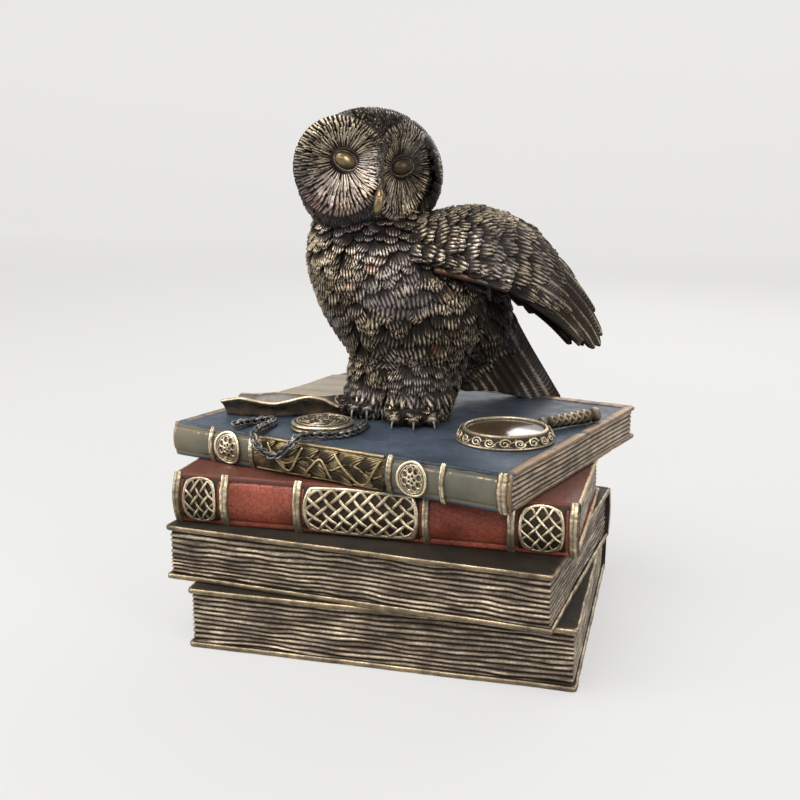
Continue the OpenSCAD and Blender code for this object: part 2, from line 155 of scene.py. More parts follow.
# ---------- mesh making ----------
class Shape:
    """Gathers grids of points, each point with a tone: 0 in a dark hollow, 1 on a rubbed ridge."""

    def __init__(self):
        self.points, self.tones, self.tints, self.faces, self.count = [], [], [], [], 0

    def grid(self, p, tone, tint=0.0, wrap_u=False, wrap_v=False):
        """One or many grids: p is (..., rows, columns, 3)."""
        p = np.asarray(p, float)
        rows, cols = p.shape[-3], p.shape[-2]
        many = p.reshape(-1, rows * cols, 3)
        i = np.arange(rows if wrap_u else rows - 1)[:, None]
        j = np.arange(cols if wrap_v else cols - 1)[None, :]
        i2, j2 = (i + 1) % rows, (j + 1) % cols
        quad = np.stack(np.broadcast_arrays(
            i * cols + j, i * cols + j2, i2 * cols + j2, i2 * cols + j), -1).reshape(-1, 4)
        for k in range(len(many)):
            self.faces.append(quad + self.count + k * rows * cols)
        flat = many.reshape(-1, 3)
        self.points.append(flat)
        self.tones.append(np.broadcast_to(tone, p.shape[:-1]).reshape(-1))
        self.tints.append(np.broadcast_to(tint, p.shape[:-1]).reshape(-1))
        self.count += len(flat)

    def tube(self, path, radius, tone=0.8, tint=0.0, sides=8, flat=1.0, up=None, closed=False, ends=True):
        """A round or flattened rod along a path; its top side is rubbed bright."""
        path = np.asarray(path, float)
        n = len(path)
        ahead = np.roll(path, -1, 0) - np.roll(path, 1, 0)
        if not closed:
            ahead[0], ahead[-1] = path[1] - path[0], path[-1] - path[-2]
        ahead = unit(ahead)
        up = np.broadcast_to(UP if up is None else up, path.shape)
        across = unit(np.cross(ahead, up))
        rise = np.cross(across, ahead)
        a = around(sides)
        r = np.broadcast_to(radius, n).astype(float).copy()
        ring = (across[:, None] * np.cos(a)[None, :, None] + rise[:, None]
                * (np.sin(a) * flat)[None, :, None])
        p = path[:, None] + ring * r[:, None, None]
        shade = np.broadcast_to(tone, n)[:, None] * (0.55 + 0.45 * np.sin(a))[None, :]
        if ends and not closed:
            p = np.concatenate([np.repeat(path[:1, None], sides, 1), p, np.repeat(path[-1:, None], sides, 1)])
            shade = np.concatenate([shade[:1], shade, shade[-1:]])
        self.grid(p, shade, tint, wrap_u=closed, wrap_v=True)

    def build(self, name, place, material, body, slot, replaces=()):
        """Makes the mesh with its material, hangs it on its body and hides the CAD parts it stands in for."""
        points = place(np.concatenate(self.points))
        faces = np.concatenate(self.faces)
        mesh = bpy.data.meshes.new(name)
        mesh.from_pydata(points, [], faces.tolist())
        for key, values in (("tone", self.tones), ("tint", self.tints)):
            layer = mesh.attributes.new(key, "FLOAT", "POINT")
            layer.data.foreach_set("value", np.concatenate(values).astype(np.float32))
        mesh.validate()
        tidy_mesh(mesh)
        obj = bpy.data.objects.new(name, mesh)
        bpy.context.scene.collection.objects.link(obj)
        mesh.materials.append(material)
        mesh.shade_smooth()
        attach(obj, body)
        if replaces:
            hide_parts(*replaces)
        return obj


def tidy_mesh(mesh):
    """Welds points that coincide, drops faces with no area and turns the rest outwards."""
    bm = bmesh.new()
    bm.from_mesh(mesh)
    bmesh.ops.remove_doubles(bm, verts=bm.verts, dist=0.002 * MM)
    bmesh.ops.dissolve_degenerate(bm, edges=bm.edges, dist=0.001 * MM)
    bmesh.ops.recalc_face_normals(bm, faces=bm.faces)
    bm.to_mesh(mesh)
    bm.free()


# ---------- surfaces that feathers grow on ----------
class Ball:
    """An ellipsoid."""

    def __init__(self, centre, radii):
        self.c, self.r = np.array(centre, float), np.array(radii, float)

    def project(self, p):
        q = unit((p - self.c) / self.r)
        return self.c + q * self.r, unit(q / self.r)

    def spread(self, gap):
        """Points spread evenly over it, about gap apart."""
        x, y, z = self.r
        squares = (x * y) ** AREA_POWER + (x * z) ** AREA_POWER + (y * z) ** AREA_POWER
        area = 4 * math.pi * (squares / 3) ** (1 / AREA_POWER)
        n = int(area / gap ** 2)
        k = np.arange(n) + 0.5
        z = 1 - 2 * k / n
        a = k * GOLDEN_TURN
        side = np.sqrt(1 - z * z)
        return self.c + np.stack([side * np.cos(a), side * np.sin(a), z], -1) * self.r

    def skin(self, shape, rows=24, cols=36, tone=0.05):
        t = np.linspace(0.001, math.pi - 0.001, rows)[:, None]
        a = around(cols)[None, :]
        p = np.stack(np.broadcast_arrays(np.sin(t) * np.cos(a), np.sin(t) * np.sin(a), np.cos(t)), -1)
        shape.grid(self.c + p * self.r, tone, wrap_v=True)


class Loft:
    """A body drawn through level ellipses, each [z, centre x, centre y, half width, half depth]."""

    def __init__(self, stations):
        self.table = curve(stations, 120)
        self.low, self.high = self.table[0, 0], self.table[-1, 0]

    def at(self, z):
        return [np.interp(z, self.table[:, 0], self.table[:, k]) for k in (1, 2, 3, 4)]

    def depth(self, p):
        cx, cy, rx, ry = self.at(p[..., 2])
        return np.sqrt(((p[..., 0] - cx) / rx) ** 2 + ((p[..., 1] - cy) / ry) ** 2)

    def project(self, p):
        cx, cy, rx, ry = self.at(p[..., 2])
        k = np.maximum(self.depth(p), 0.05)
        q = np.stack([cx + (p[..., 0] - cx) / k, cy + (p[..., 1] - cy) / k, p[..., 2]], -1)
        step = 0.4 * np.eye(3)
        grad = [self.depth(q + d) - self.depth(q - d) for d in step]
        return q, unit(np.stack(grad, -1))

    def rows(self, gap_z, gap_a, low, high):
        """Staggered rows of points, from the lowest row up."""
        out = []
        for k, z in enumerate(np.arange(low, high, gap_z)):
            cx, cy, rx, ry = self.at(z)
            n = max(6, int(TAU * math.sqrt((rx * rx + ry * ry) / 2) / gap_a))
            a = (np.arange(n) + 0.5 * (k % 2)) * TAU / n + rng.normal(0, 0.12 * TAU / n, n)
            zz = z + rng.normal(0, 0.16 * gap_z, n)
            cx, cy, rx, ry = self.at(zz)
            out.append(np.stack([cx + rx * np.cos(a), cy + ry * np.sin(a), zz], -1))
        return np.concatenate(out)

    def skin(self, shape, rows=40, cols=48, tone=0.05):
        z = np.linspace(self.low, self.high, rows)
        cx, cy, rx, ry = [k[:, None] for k in self.at(z)]
        a = around(cols)[None, :]
        p = np.stack(np.broadcast_arrays(cx + rx * np.cos(a), cy + ry * np.sin(a), z[:, None]), -1)
        shape.grid(capped(p), tone, wrap_v=True)


class Sheet:
    """A wing or a tail: a curved sheet between two edge lines, a along it and b across it, both 0 to 1."""

    def __init__(self, near, far, bulge, thick):
        self.near, self.far = curve(near, 80), curve(far, 80)
        self.bulge, self.thick = bulge, thick
        mid = (self.near + self.far) / 2
        self.up = unit(np.cross(np.gradient(mid, axis=0), self.far - self.near))
        if self.up[:, 2].mean() < 0:
            self.up = -self.up

    def _take(self, table, a):
        t = np.clip(a, 0, 1) * (len(table) - 1)
        i = np.minimum(t.astype(int), len(table) - 2)
        over = (a - np.clip(a, 0, 1)) * (len(table) - 1)
        f = (t - i + over)[..., None]
        return table[i] * (1 - f) + table[i + 1] * f

    def point(self, a, b):
        near, far, up = (self._take(k, a) for k in (self.near, self.far, self.up))
        hump = np.sin(math.pi * np.clip(b, 0, 1)) * self.bulge * np.clip(1.25 - a, 0.2, 1)
        return near + (far - near) * b[..., None] + up * hump[..., None]

    def frame(self, a, b, e=0.01):
        along = (self.point(a + e, b) - self.point(a - e, b)) / (2 * e)
        over = (self.point(a, b + e) - self.point(a, b - e)) / (2 * e)
        n = unit(np.cross(along, over))
        up = self._take(self.up, a)
        return along, over, n * np.sign((n * up).sum(-1, keepdims=True))

    def half(self, a, b):
        """Half its thickness, thinning towards its edges and tip."""
        round_edge = np.sqrt(np.clip(np.sin(math.pi * np.clip(b, 0, 1)), 0, 1))
        return self.thick * (1.15 - 0.75 * np.clip(a, 0, 1)) / 2 * round_edge

    def slab(self, shape, rows=40, cols=16, tone=0.05, reach=0.8):
        """The closed base that the feathers lie on."""
        a = np.linspace(0, reach, rows)[:, None]
        b = (0.5 - 0.5 * np.cos(np.linspace(0, math.pi, cols)))[None, :]
        a, b = np.broadcast_arrays(a, b)
        p, (_, _, n) = self.point(a, b), self.frame(a, b)
        half = self.half(a, b) + 0.05
        ring = np.concatenate([p + n * half[..., None], (p - n * half[..., None])[:, ::-1]], 1)
        shape.grid(capped(ring), tone, wrap_v=True)


# ---------- feathers ----------
def vane_steps(n, length, width, rows, cols):
    """Steps along and across n feathers, those of the edge that is turned down, and each length and width."""
    t = np.concatenate([np.linspace(0, 1, rows), [1.0]])[None, :, None]
    s = np.concatenate([[-1.0], np.linspace(-1, 1, cols), [1.0]])[None, None, :]
    edge = np.zeros((1, rows + 1, cols + 2), bool)
    edge[:, -1], edge[:, :, 0], edge[:, :, -1] = True, True, True
    length, width = (np.broadcast_to(k, n).reshape(-1, 1, 1) for k in (length, width))
    return t, s, edge, length, width


def turned_down(x, y, h, tone, edge, skirt):
    return np.broadcast_arrays(x, y, np.where(edge, h - skirt, h), np.where(edge, 0.0, tone))


def scallop(n, length, width, rows=5, ridges=5, ridge=0.16, root=-0.25, tip=0.8, camber=0.35,
            waist=0.45, rounding=0.75, skirt=0.9, lit=0.4):
    """n short feathers, barbs fanned to a rounded end: distances along, across and above the skin."""
    t, s, edge, length, width = vane_steps(n, length, width, rows, 2 * ridges + 1)
    wide = waist + (1 - waist) * smooth(t / 0.6)
    y = s * wide * width / 2
    x = length * t - rounding * width / 2 * (1 - np.sqrt(1 - 0.96 * s * s)) * t ** 1.5
    crest = np.cos(math.pi * ridges * s)
    swell = smooth(t / 0.3)
    h = root + (tip - root) * t ** 1.3 + camber * (1 - s * s) * swell + ridge * crest * swell
    tone = (0.5 + 0.5 * crest) * (0.1 + 0.9 * smooth((t - lit) / 0.55)) * (1 - 0.4 * np.abs(s) ** 3)
    return turned_down(x, y, h, tone, edge, skirt)


def quill(n, length, width, rows=30, barbs=3, ridge=0.14, root=-0.2, tip=0.7, camber=0.5, slant=0.5,
          skirt=0.8, taper=0.9):
    """n long flight feathers with a raised shaft and slanting barbs."""
    t, s, edge, length, width = vane_steps(n, length, width, rows, 2 * barbs + 1)
    wide = (0.55 + 0.45 * smooth(t / 0.35)) * (1 - (1 - taper) * t)
    y = s * wide * width / 2
    rounding = width / 2 * (1 - np.sqrt(1 - 0.97 * s * s)) * smooth((t - 0.5) / 0.5)
    x = length * t - slant * np.abs(s) * width / 2 * (1 - smooth((t - 0.7) / 0.3)) - rounding
    rung = np.cos(TAU * (np.arange(rows + 1) / 3.0))[None, :, None] * np.minimum(1, np.abs(s) * 3)
    shaft = np.exp(-(s / 0.12) ** 2)
    h = root + (tip - root) * t + camber * (1 - s * s) + ridge * rung + 0.3 * shaft
    tone = np.clip(0.36 + 0.24 * rung + 0.5 * shaft - 0.2 * np.abs(s) ** 4, 0, 1) * (0.5 + 0.5 * t)
    return turned_down(x, y, h, tone, edge, skirt)


def grow(shape, surface, roots, flow, vane, bright=1.0, tint=0.0, sway=0.12):
    """Lays feathers on a closed surface: each starts at a root and runs the way flow points there."""
    x, y, h, tone = vane
    _, n = surface.project(roots)
    d = flow - (flow * n).sum(-1, keepdims=True) * n
    d = unit(unit(d) + np.cross(n, unit(d)) * rng.normal(0, sway, (len(roots), 1)))
    b = np.cross(n, d)
    p = roots[:, None, None] + x[..., None] * d[:, None, None] + y[..., None] * b[:, None, None]
    q, m = surface.project(p)
    bright, tint = (np.broadcast_to(k, len(roots)).reshape(-1, 1, 1) for k in (bright, tint))
    shape.grid(q + m * h[..., None], np.clip(tone * bright, 0, 1), tint + 0 * tone)


def lay(shape, sheet, a, b, turn, vane, side=1, bright=1.0, tint=0.0):
    """Lays feathers on one side of a sheet, from (a, b) and turned from its long direction, in degrees."""
    x, y, h, tone = vane
    a, b, turn = (np.broadcast_to(np.asarray(k, float), len(x)) for k in (a, b, turn))
    along, over, _ = sheet.frame(a, b)
    la, lb = (np.maximum(np.linalg.norm(k, axis=-1), 1.0)[:, None, None] for k in (along, over))
    c, s = (f(np.radians(turn))[:, None, None] for f in (np.cos, np.sin))
    aa = a[:, None, None] + (x * c - y * s) / la
    bb = b[:, None, None] + (x * s + y * c) / lb
    _, _, n = sheet.frame(aa, bb)
    bright, tint = (np.broadcast_to(k, len(x)).reshape(-1, 1, 1) for k in (bright, tint))
    shape.grid(sheet.point(aa, bb) + n * (side * (sheet.half(aa, bb) + h))[..., None],
               np.clip(tone * bright, 0, 1), tint + 0 * tone)


# ---------- materials ----------
class Paint:
    """A node material being made: coordinates in metres that move with the piece, and a few shorthands."""

    def __init__(self, name):
        self.material = bpy.data.materials.new(name)
        self.material.use_nodes = True
        self.tree = self.material.node_tree
        self.shader = self.tree.nodes["Principled BSDF"]
        self.where = self.add("ShaderNodeTexCoord").outputs["Object"]

    def add(self, kind, **settings):
        node = self.tree.nodes.new(kind)
        for key, value in settings.items():
            setattr(node, key, value)
        return node

    def link(self, source, target):
        self.tree.links.new(source, target)

    def value(self, key):
        return self.add("ShaderNodeAttribute", attribute_name=key).outputs["Fac"]

    def noise(self, scale, detail=3.0, rough=0.55, stretch=None):
        node = self.add("ShaderNodeTexNoise")
        node.inputs["Scale"].default_value = scale
        node.inputs["Detail"].default_value = detail
        node.inputs["Roughness"].default_value = rough
        where = self.where
        if stretch:
            mapping = self.add("ShaderNodeMapping")
            mapping.inputs["Scale"].default_value = stretch
            self.link(where, mapping.inputs["Vector"])
            where = mapping.outputs["Vector"]
        self.link(where, node.inputs["Vector"])
        return node.outputs["Fac"]

    def cracks(self, scale):
        node = self.add("ShaderNodeTexVoronoi", feature="DISTANCE_TO_EDGE")
        node.inputs["Scale"].default_value = scale
        self.link(self.where, node.inputs["Vector"])
        return node.outputs["Distance"]

    def maths(self, operation, a, b, clamp=False):
        node = self.add("ShaderNodeMath", operation=operation, use_clamp=clamp)
        for socket, value in zip(node.inputs, (a, b)):
            if isinstance(value, (int, float)):
                socket.default_value = value
            else:
                self.link(value, socket)
        return node.outputs[0]

    def span(self, value, low, high, to_low=0.0, to_high=1.0):
        node = self.add("ShaderNodeMapRange")
        self.link(value, node.inputs["Value"])
        for key, number in (("From Min", low), ("From Max", high), ("To Min", to_low), ("To Max", to_high)):
            node.inputs[key].default_value = number
        return node.outputs["Result"]

    def ramp(self, value, stops):
        node = self.add("ShaderNodeValToRGB")
        while len(node.color_ramp.elements) < len(stops):
            node.color_ramp.elements.new(0.5)
        for element, (at, colour) in zip(node.color_ramp.elements, stops):
            element.position = at
            element.color = (*colour, 1)
        self.link(value, node.inputs["Fac"])
        return node.outputs["Color"]

    def mix(self, factor, a, b):
        node = self.add("ShaderNodeMix", data_type="RGBA")
        for socket, value in ((node.inputs[0], factor), (node.inputs[6], a), (node.inputs[7], b)):
            if isinstance(value, tuple):
                socket.default_value = (*value, 1)
            elif isinstance(value, (int, float)):
                socket.default_value = value
            else:
                self.link(value, socket)
        return node.outputs[2]

    def bump(self, height, distance, strength=1.0):
        node = self.add("ShaderNodeBump")
        node.inputs["Distance"].default_value = distance
        node.inputs["Strength"].default_value = strength
        self.link(height, node.inputs["Height"])
        self.link(node.outputs["Normal"], self.shader.inputs["Normal"])

    def finish(self, colour, roughness, metallic):
        self.link(colour, self.shader.inputs["Base Color"])
        for key, value in (("Roughness", roughness), ("Metallic", metallic)):
            if isinstance(value, (int, float)):
                self.shader.inputs[key].default_value = value
            else:
                self.link(value, self.shader.inputs[key])
        return self.material


def patina(name, dark, mid, bright, rub=(0.3, 0.6, 0.95), copper=(0.5, 0.2, 0.1), metal=0.9, grain=420.0,
           rough=(0.62, 0.3), pits=0.00008, cool=None):
    """Cold-cast bronze: dark in the hollows, brass dry-brushed on what stands proud, copper where tinted."""
    p = Paint(name)
    patches = p.span(p.noise(grain / 5), 0.32, 0.68, 0.6, 1.15)
    specks = p.span(p.noise(grain * 3, 4), 0.3, 0.7, 0.75, 1.15)
    tone = p.maths("MULTIPLY", p.value("tone"), p.maths("MULTIPLY", patches, specks), clamp=True)
    colour = p.ramp(tone, [(0.0, dark), (rub[0], mid),
                           (rub[1], tuple(0.6 * m + 0.4 * b for m, b in zip(mid, bright))),
                           (rub[2], bright)])
    p.shader.inputs["Specular IOR Level"].default_value = 0.15
    if cool:
        shade = p.mix(p.span(tone, 0.2, 1.0), tuple(c * 0.06 for c in cool), cool)
        colour = p.mix(p.span(p.noise(grain / 9, 2), 0.5, 0.68), colour, shade)
    warm = p.mix(p.span(tone, 0.1, 0.9), tuple(c * 0.12 for c in copper), copper)
    tint = p.maths("MULTIPLY", p.value("tint"), p.span(p.noise(grain / 2), 0.35, 0.65), clamp=True)
    p.bump(p.noise(grain * 4, 5), pits)
    return p.finish(p.mix(tint, colour, warm), p.span(tone, 0, 1, rough[0], rough[1]),
                    p.span(tone, 0.05, 0.6, 0.35, metal))


def leather(name, deep, face, edge, crack_scale, gloss=(0.28, 0.5), crack_depth=0.00016, cracked=0.09,
            age_tint_and_painted_light=(0.07, 0.028, 0.02)):
    """Painted leather cast in resin: cracked grain, with bronze rubbed through where the tone is high."""
    p = Paint(name)
    grain = p.noise(900, 5)
    blotch = p.noise(70, 4)
    cracked = p.span(p.cracks(crack_scale), 0.0, cracked)
    skin = p.mix(p.span(blotch, 0.3, 0.7), deep, face)
    skin = p.mix(p.maths("MULTIPLY", cracked, p.span(grain, 0.25, 0.5, 0.55, 1.0)),
                 tuple(c * 0.3 for c in deep), skin)
    # the tint mixes in a second colour: a real olive cast on the blue spine, painted shade on the red book's
    # top board
    skin = p.mix(p.maths("MULTIPLY", p.value("tint"), p.span(blotch, 0.3, 0.6, 0.5, 1.0)), skin, age_tint_and_painted_light)
    p.shader.inputs["Specular IOR Level"].default_value = 0.25
    worn = p.maths("MULTIPLY", p.value("tone"), p.span(p.noise(260, 4), 0.3, 0.62, 0.35, 1.5), clamp=True)
    worn = p.span(worn, 0.35, 0.65)
    height = p.maths("ADD", p.maths("MULTIPLY", grain, 0.35), cracked)
    p.bump(height, crack_depth)
    return p.finish(p.mix(worn, skin, edge), p.span(p.noise(200), 0.3, 0.7, gloss[0], gloss[1]),
                    p.maths("MULTIPLY", worn, 0.85))


DARK, MID, BRASS = (0.004, 0.003, 0.0025), (0.035, 0.025, 0.018), (0.8, 0.66, 0.47)
plumage = patina("plumage", DARK, MID, BRASS, rub=(0.3, 0.58, 0.9), cool=(0.55, 0.47, 0.45))
boards = patina("book_bronze", (0.008, 0.007, 0.006), (0.05, 0.04, 0.03), (0.42, 0.32, 0.2),
                rub=(0.25, 0.55, 1.0))
paper = patina("page_bronze", (0.008, 0.006, 0.005), (0.09, 0.066, 0.046), (0.62, 0.5, 0.36),
               rub=(0.3, 0.6, 0.95), metal=0.75, rough=(0.6, 0.34))
relief = patina("spine_relief", (0.008, 0.006, 0.005), (0.11, 0.08, 0.045), (0.78, 0.66, 0.46),
                rough=(0.5, 0.26))
leafwork = patina("leaf_relief", (0.01, 0.008, 0.005), (0.07, 0.05, 0.024), (0.5, 0.38, 0.21),
                  rough=(0.5, 0.3))
relic = patina("relic_bronze", (0.008, 0.006, 0.005), (0.07, 0.052, 0.034), (0.6, 0.5, 0.34))
silver = patina("claw_silver", (0.015, 0.013, 0.012), (0.08, 0.075, 0.068), (0.4, 0.38, 0.34),
                rough=(0.5, 0.3))
brass_eye = patina("eye_brass", (0.012, 0.008, 0.006), (0.07, 0.046, 0.022), (0.6, 0.46, 0.25),
                   rough=(0.34, 0.2), pits=0.00002)
red_leather = leather("red_leather", (0.1, 0.022, 0.013), (0.27, 0.065, 0.036), (0.5, 0.36, 0.2), 620,
                      crack_depth=0.00007, cracked=0.035)
blue_leather = leather("blue_leather", (0.018, 0.026, 0.037), (0.052, 0.07, 0.096), (0.24, 0.165, 0.1), 500,
                       crack_depth=0.00004, cracked=0.015, gloss=(0.4, 0.6), age_tint_and_painted_light=(0.115, 0.1, 0.062))


# ---------- the owl ----------
def down(p, flare=0.0, about=(-10, 4)):
    """Flow that runs down the body, flaring away from its middle."""
    out = unit(np.stack([p[:, 0] - about[0], p[:, 1] - about[1], np.zeros(len(p))], -1))
    return out * flare + np.array([0, 0, -1.0])


TORSO = Loft([[1.5, -7, 5, 9, 8], [7, -7.5, 4.5, 13.5, 12.5], [14, -8.2, 4, 16, 15.5], [21, -8, 4, 18.8, 18],
              [27, -8.5, 4, 22, 20], [34, -9.6, 4, 25.2, 21.8], [42, -10.6, 3.5, 27.2, 22.5],
              [50, -13, 3, 26.8, 22], [57, -16, 2.5, 23.3, 19.6], [64, -19.6, 3.5, 18.0, 15.0],
              [72, -21.5, 4.5, 14.5, 12.0]])
HEAD = Ball((-20.9, 3.0, 77.6), (22.4, 19.4, 20.3))
CHEEK = Ball((-27.5, -6.5, 77.5), (15.5, 10.6, 17.3))
LEFT_LEG = Ball((-6.5, -4.5, 13.0), (11.0, 11.0, 14.5))
RIGHT_LEG = Ball((-19.5, 1.5, 12.5), (8.6, 10.0, 14.0))
LEFT_TOES = Ball((-7.3, -12.6, 3.4), (8.0, 6.6, 3.3))
RIGHT_TOES = Ball((-23.5, -2.0, 4.6), (8.6, 6.6, 3.4))
WING = Sheet([[-2, -18, 50], [8, -19.5, 47.6], [18, -17.5, 44.6], [28, -13, 39.8], [37, -8, 33.2],
              [44.5, -3, 26], [50, 1, 20.5]],
             [[1, 5, 62.5], [10, 6.5, 65], [19, 7, 63.8], [28, 7.5, 59.3], [37, 7, 51.6], [46, 5.5, 41.2],
              [53.4, 4, 29]], 3.2, 4.2)
FOLDED = Sheet([[-37, 2, 57], [-38, 9, 46], [-32, 20, 32], [-20, 31, 18], [-6, 37, 7]],
               [[-20, 21, 62], [-17, 26, 50], [-12, 29, 36], [-5, 33, 20], [2, 36, 8]], 3.4, 4.0)
TAIL = Sheet([[1, 12, 27], [5, 15, 17], [9, 18, 8], [12, 20, 2.6]],
             [[14, 17, 46], [22, 21, 33], [30, 26, 18], [37.5, 29.5, 5]], 2.6, 4.0)


def owl_torso():
    shape = Shape()
    TORSO.skin(shape)
    for ball in (LEFT_LEG, RIGHT_LEG, LEFT_TOES, RIGHT_TOES):
        ball.skin(shape)
    shape.build("owl_torso_core", OWL, plumage, "lid", "plumage", ("owl_body", "owl_legs"))


def chest_feathers():
    """Overlapping rows of rounded feathers, small and curled at the throat, darker on the flank with painted
    shade.
    """
    for name, low, high, gap, width in (("owl_belly_feathers", 7, 51, (2.9, 3.7), 5.6),
                                        ("owl_throat_feathers", 50, 70, (2.2, 2.7), 4.2)):
        shape = Shape()
        roots = TORSO.rows(*gap, low, high)
        z = roots[:, 2]
        size = width * np.interp(z, [8, 20, 40, 52, 68], [0.9, 1.05, 1.0, 1.15, 0.8])
        size = size * rng.uniform(0.75, 1.25, len(z))
        # painted shade: the feathers dim towards the flank, away from the light
        flank = smooth((roots[:, 0] - 2) / 14)
        bright = rng.uniform(0.6, 1.25, len(z)) * (1 - 0.45 * flank)
        tint = np.where(rng.random(len(z)) < 0.1, 0.45, 0.0)
        vane = scallop(len(z), size * 1.4, size, rows=8, ridges=5, tip=1.5, ridge=0.24, rounding=1.35,
                       waist=0.28, camber=0.6)
        grow(shape, TORSO, roots, down(roots, 0.15), vane, bright, tint, sway=0.34)
        shape.build(name, OWL, plumage, "lid", "plumage")


def flank_feathers():
    """Loose feathers of the flank and rump, kept dark with painted shade under the raised wing."""
    shape = Shape()
    for ball in (Ball((10.5, 10, 32.5), (13.8, 13, 17.5)), Ball((-12, 16, 36), (19, 13, 22))):
        ball.skin(shape)
        roots = ball.spread(2.9)
        n = len(roots)
        size = rng.uniform(4.2, 6.0, n)
        vane = scallop(n, size * 1.5, size, rows=7, ridges=4, tip=1.5, ridge=0.22, rounding=1.3, waist=0.3)
        # their low brightness is painted shade under the raised wing
        grow(shape, ball, roots, down(roots, 0.2, ball.c[:2]), vane, rng.uniform(0.25, 0.6, n), sway=0.35)
    shape.build("owl_flank_feathers", OWL, plumage, "lid", "plumage")


def leg_feathers():
    """Longer, looser feathers that flare over the feet."""
    shape = Shape()
    for ball, gap, size, flare in ((LEFT_LEG, 2.6, 4.6, 0.25), (RIGHT_LEG, 2.6, 4.4, 0.25),
                                   (LEFT_TOES, 1.7, 3.0, 1.2), (RIGHT_TOES, 1.7, 3.0, 1.8)):
        roots = ball.spread(gap)
        roots = roots[(roots[:, 2] > 0.8) & (roots[:, 2] < ball.c[2] + 0.75 * ball.r[2])]
        length = size * rng.uniform(1.1, 1.6, len(roots))
        vane = scallop(len(roots), length, size * 0.75, rows=6, ridges=4, ridge=0.18, tip=0.8, rounding=1.2)
        grow(shape, ball, roots, down(roots, flare, ball.c[:2]), vane, rng.uniform(0.7, 1.15, len(roots)),
             sway=0.3)
    for ball, levels in ((LEFT_LEG, (11.0, 9.0, 7.2, 5.6, 4.4)), (RIGHT_LEG, (11.0, 9.2, 7.4, 5.8))):
        for z in levels:
            n = 40
            turn = (np.arange(n) + rng.uniform(-0.3, 0.3, n)) * TAU / n
            k = math.sqrt(1 - ((z - ball.c[2]) / ball.r[2]) ** 2)
            roots = np.stack([ball.c[0] + ball.r[0] * k * np.cos(turn),
                              ball.c[1] + ball.r[1] * k * np.sin(turn), np.full(n, z)], -1)
            vane = scallop(n, rng.uniform(5.0, 7.0, n), 2.9, rows=6, ridges=2, ridge=0.25, tip=1.7,
                           rounding=2.2, lit=0.1)
            skirt = Ball(ball.c + [0, 0, -1.5], ball.r * [1.05, 1.05, 1.3])
            grow(shape, skirt, roots, down(roots, 0.5, ball.c[:2]), vane, rng.uniform(0.7, 1.2, n), sway=0.25)
    shape.build("owl_leg_feathers", OWL, plumage, "lid", "plumage")


# ---------- the face ----------
FACE_YAW, FACE_ROLL = math.radians(24), math.radians(6)
FACE_N = np.array([math.sin(FACE_YAW), -math.cos(FACE_YAW), 0])
_side = np.array([math.cos(FACE_YAW), math.sin(FACE_YAW), 0])
FACE_X = _side * math.cos(FACE_ROLL) - UP * math.sin(FACE_ROLL)
FACE_Z = _side * math.sin(FACE_ROLL) + UP * math.cos(FACE_ROLL)
FACE_AT = np.array([-18.5, -17.8, 79.6])
EYE_A, EYE_B = 9.3, 1.6
EYE_R = 3.95
DISC_A, DISC_B, DISC_RA, DISC_RB = 10.4, -0.2, 10.2, 12.4


def disc_reach(a, b):
    """0 at a disc's middle and 1 at its rim, for the nearer disc."""
    return np.sqrt(((np.abs(a) - DISC_A) / DISC_RA) ** 2 + ((b - DISC_B) / DISC_RB) ** 2)


def face(a, b, h=0.0):
    """A point on the face: a to its viewer's right, b up, h proud of it. Each disc is a shallow dish."""
    a, b, h = np.broadcast_arrays(np.asarray(a, float), np.asarray(b, float), np.asarray(h, float))
    depth = 0.5 * (a * a / 27 + b * b / 40)
    reach = disc_reach(a, b)
    dish = -1.7 * np.clip(1 - reach ** 2, 0, 1) + 0.9 * np.exp(-((reach - 1) / 0.13) ** 2)
    bridge = 1.8 * np.exp(-(a / 2.2) ** 2) * smooth((b + 14) / 8)
    out = dish + bridge - depth + h
    return FACE_AT + a[..., None] * FACE_X + b[..., None] * FACE_Z + out[..., None] * FACE_N


def lay_on_face(shape, a, b, turn, vane, bright=1.0, tint=0.0, chart=face):
    x, y, h, tone = vane
    c, s = np.cos(turn)[:, None, None], np.sin(turn)[:, None, None]
    aa, bb = a[:, None, None] + x * c - y * s, b[:, None, None] + x * s + y * c
    bright, tint = (np.broadcast_to(k, len(x)).reshape(-1, 1, 1) for k in (bright, tint))
    shape.grid(chart(aa, bb, h), np.clip(tone * bright, 0, 1), tint + 0 * tone)


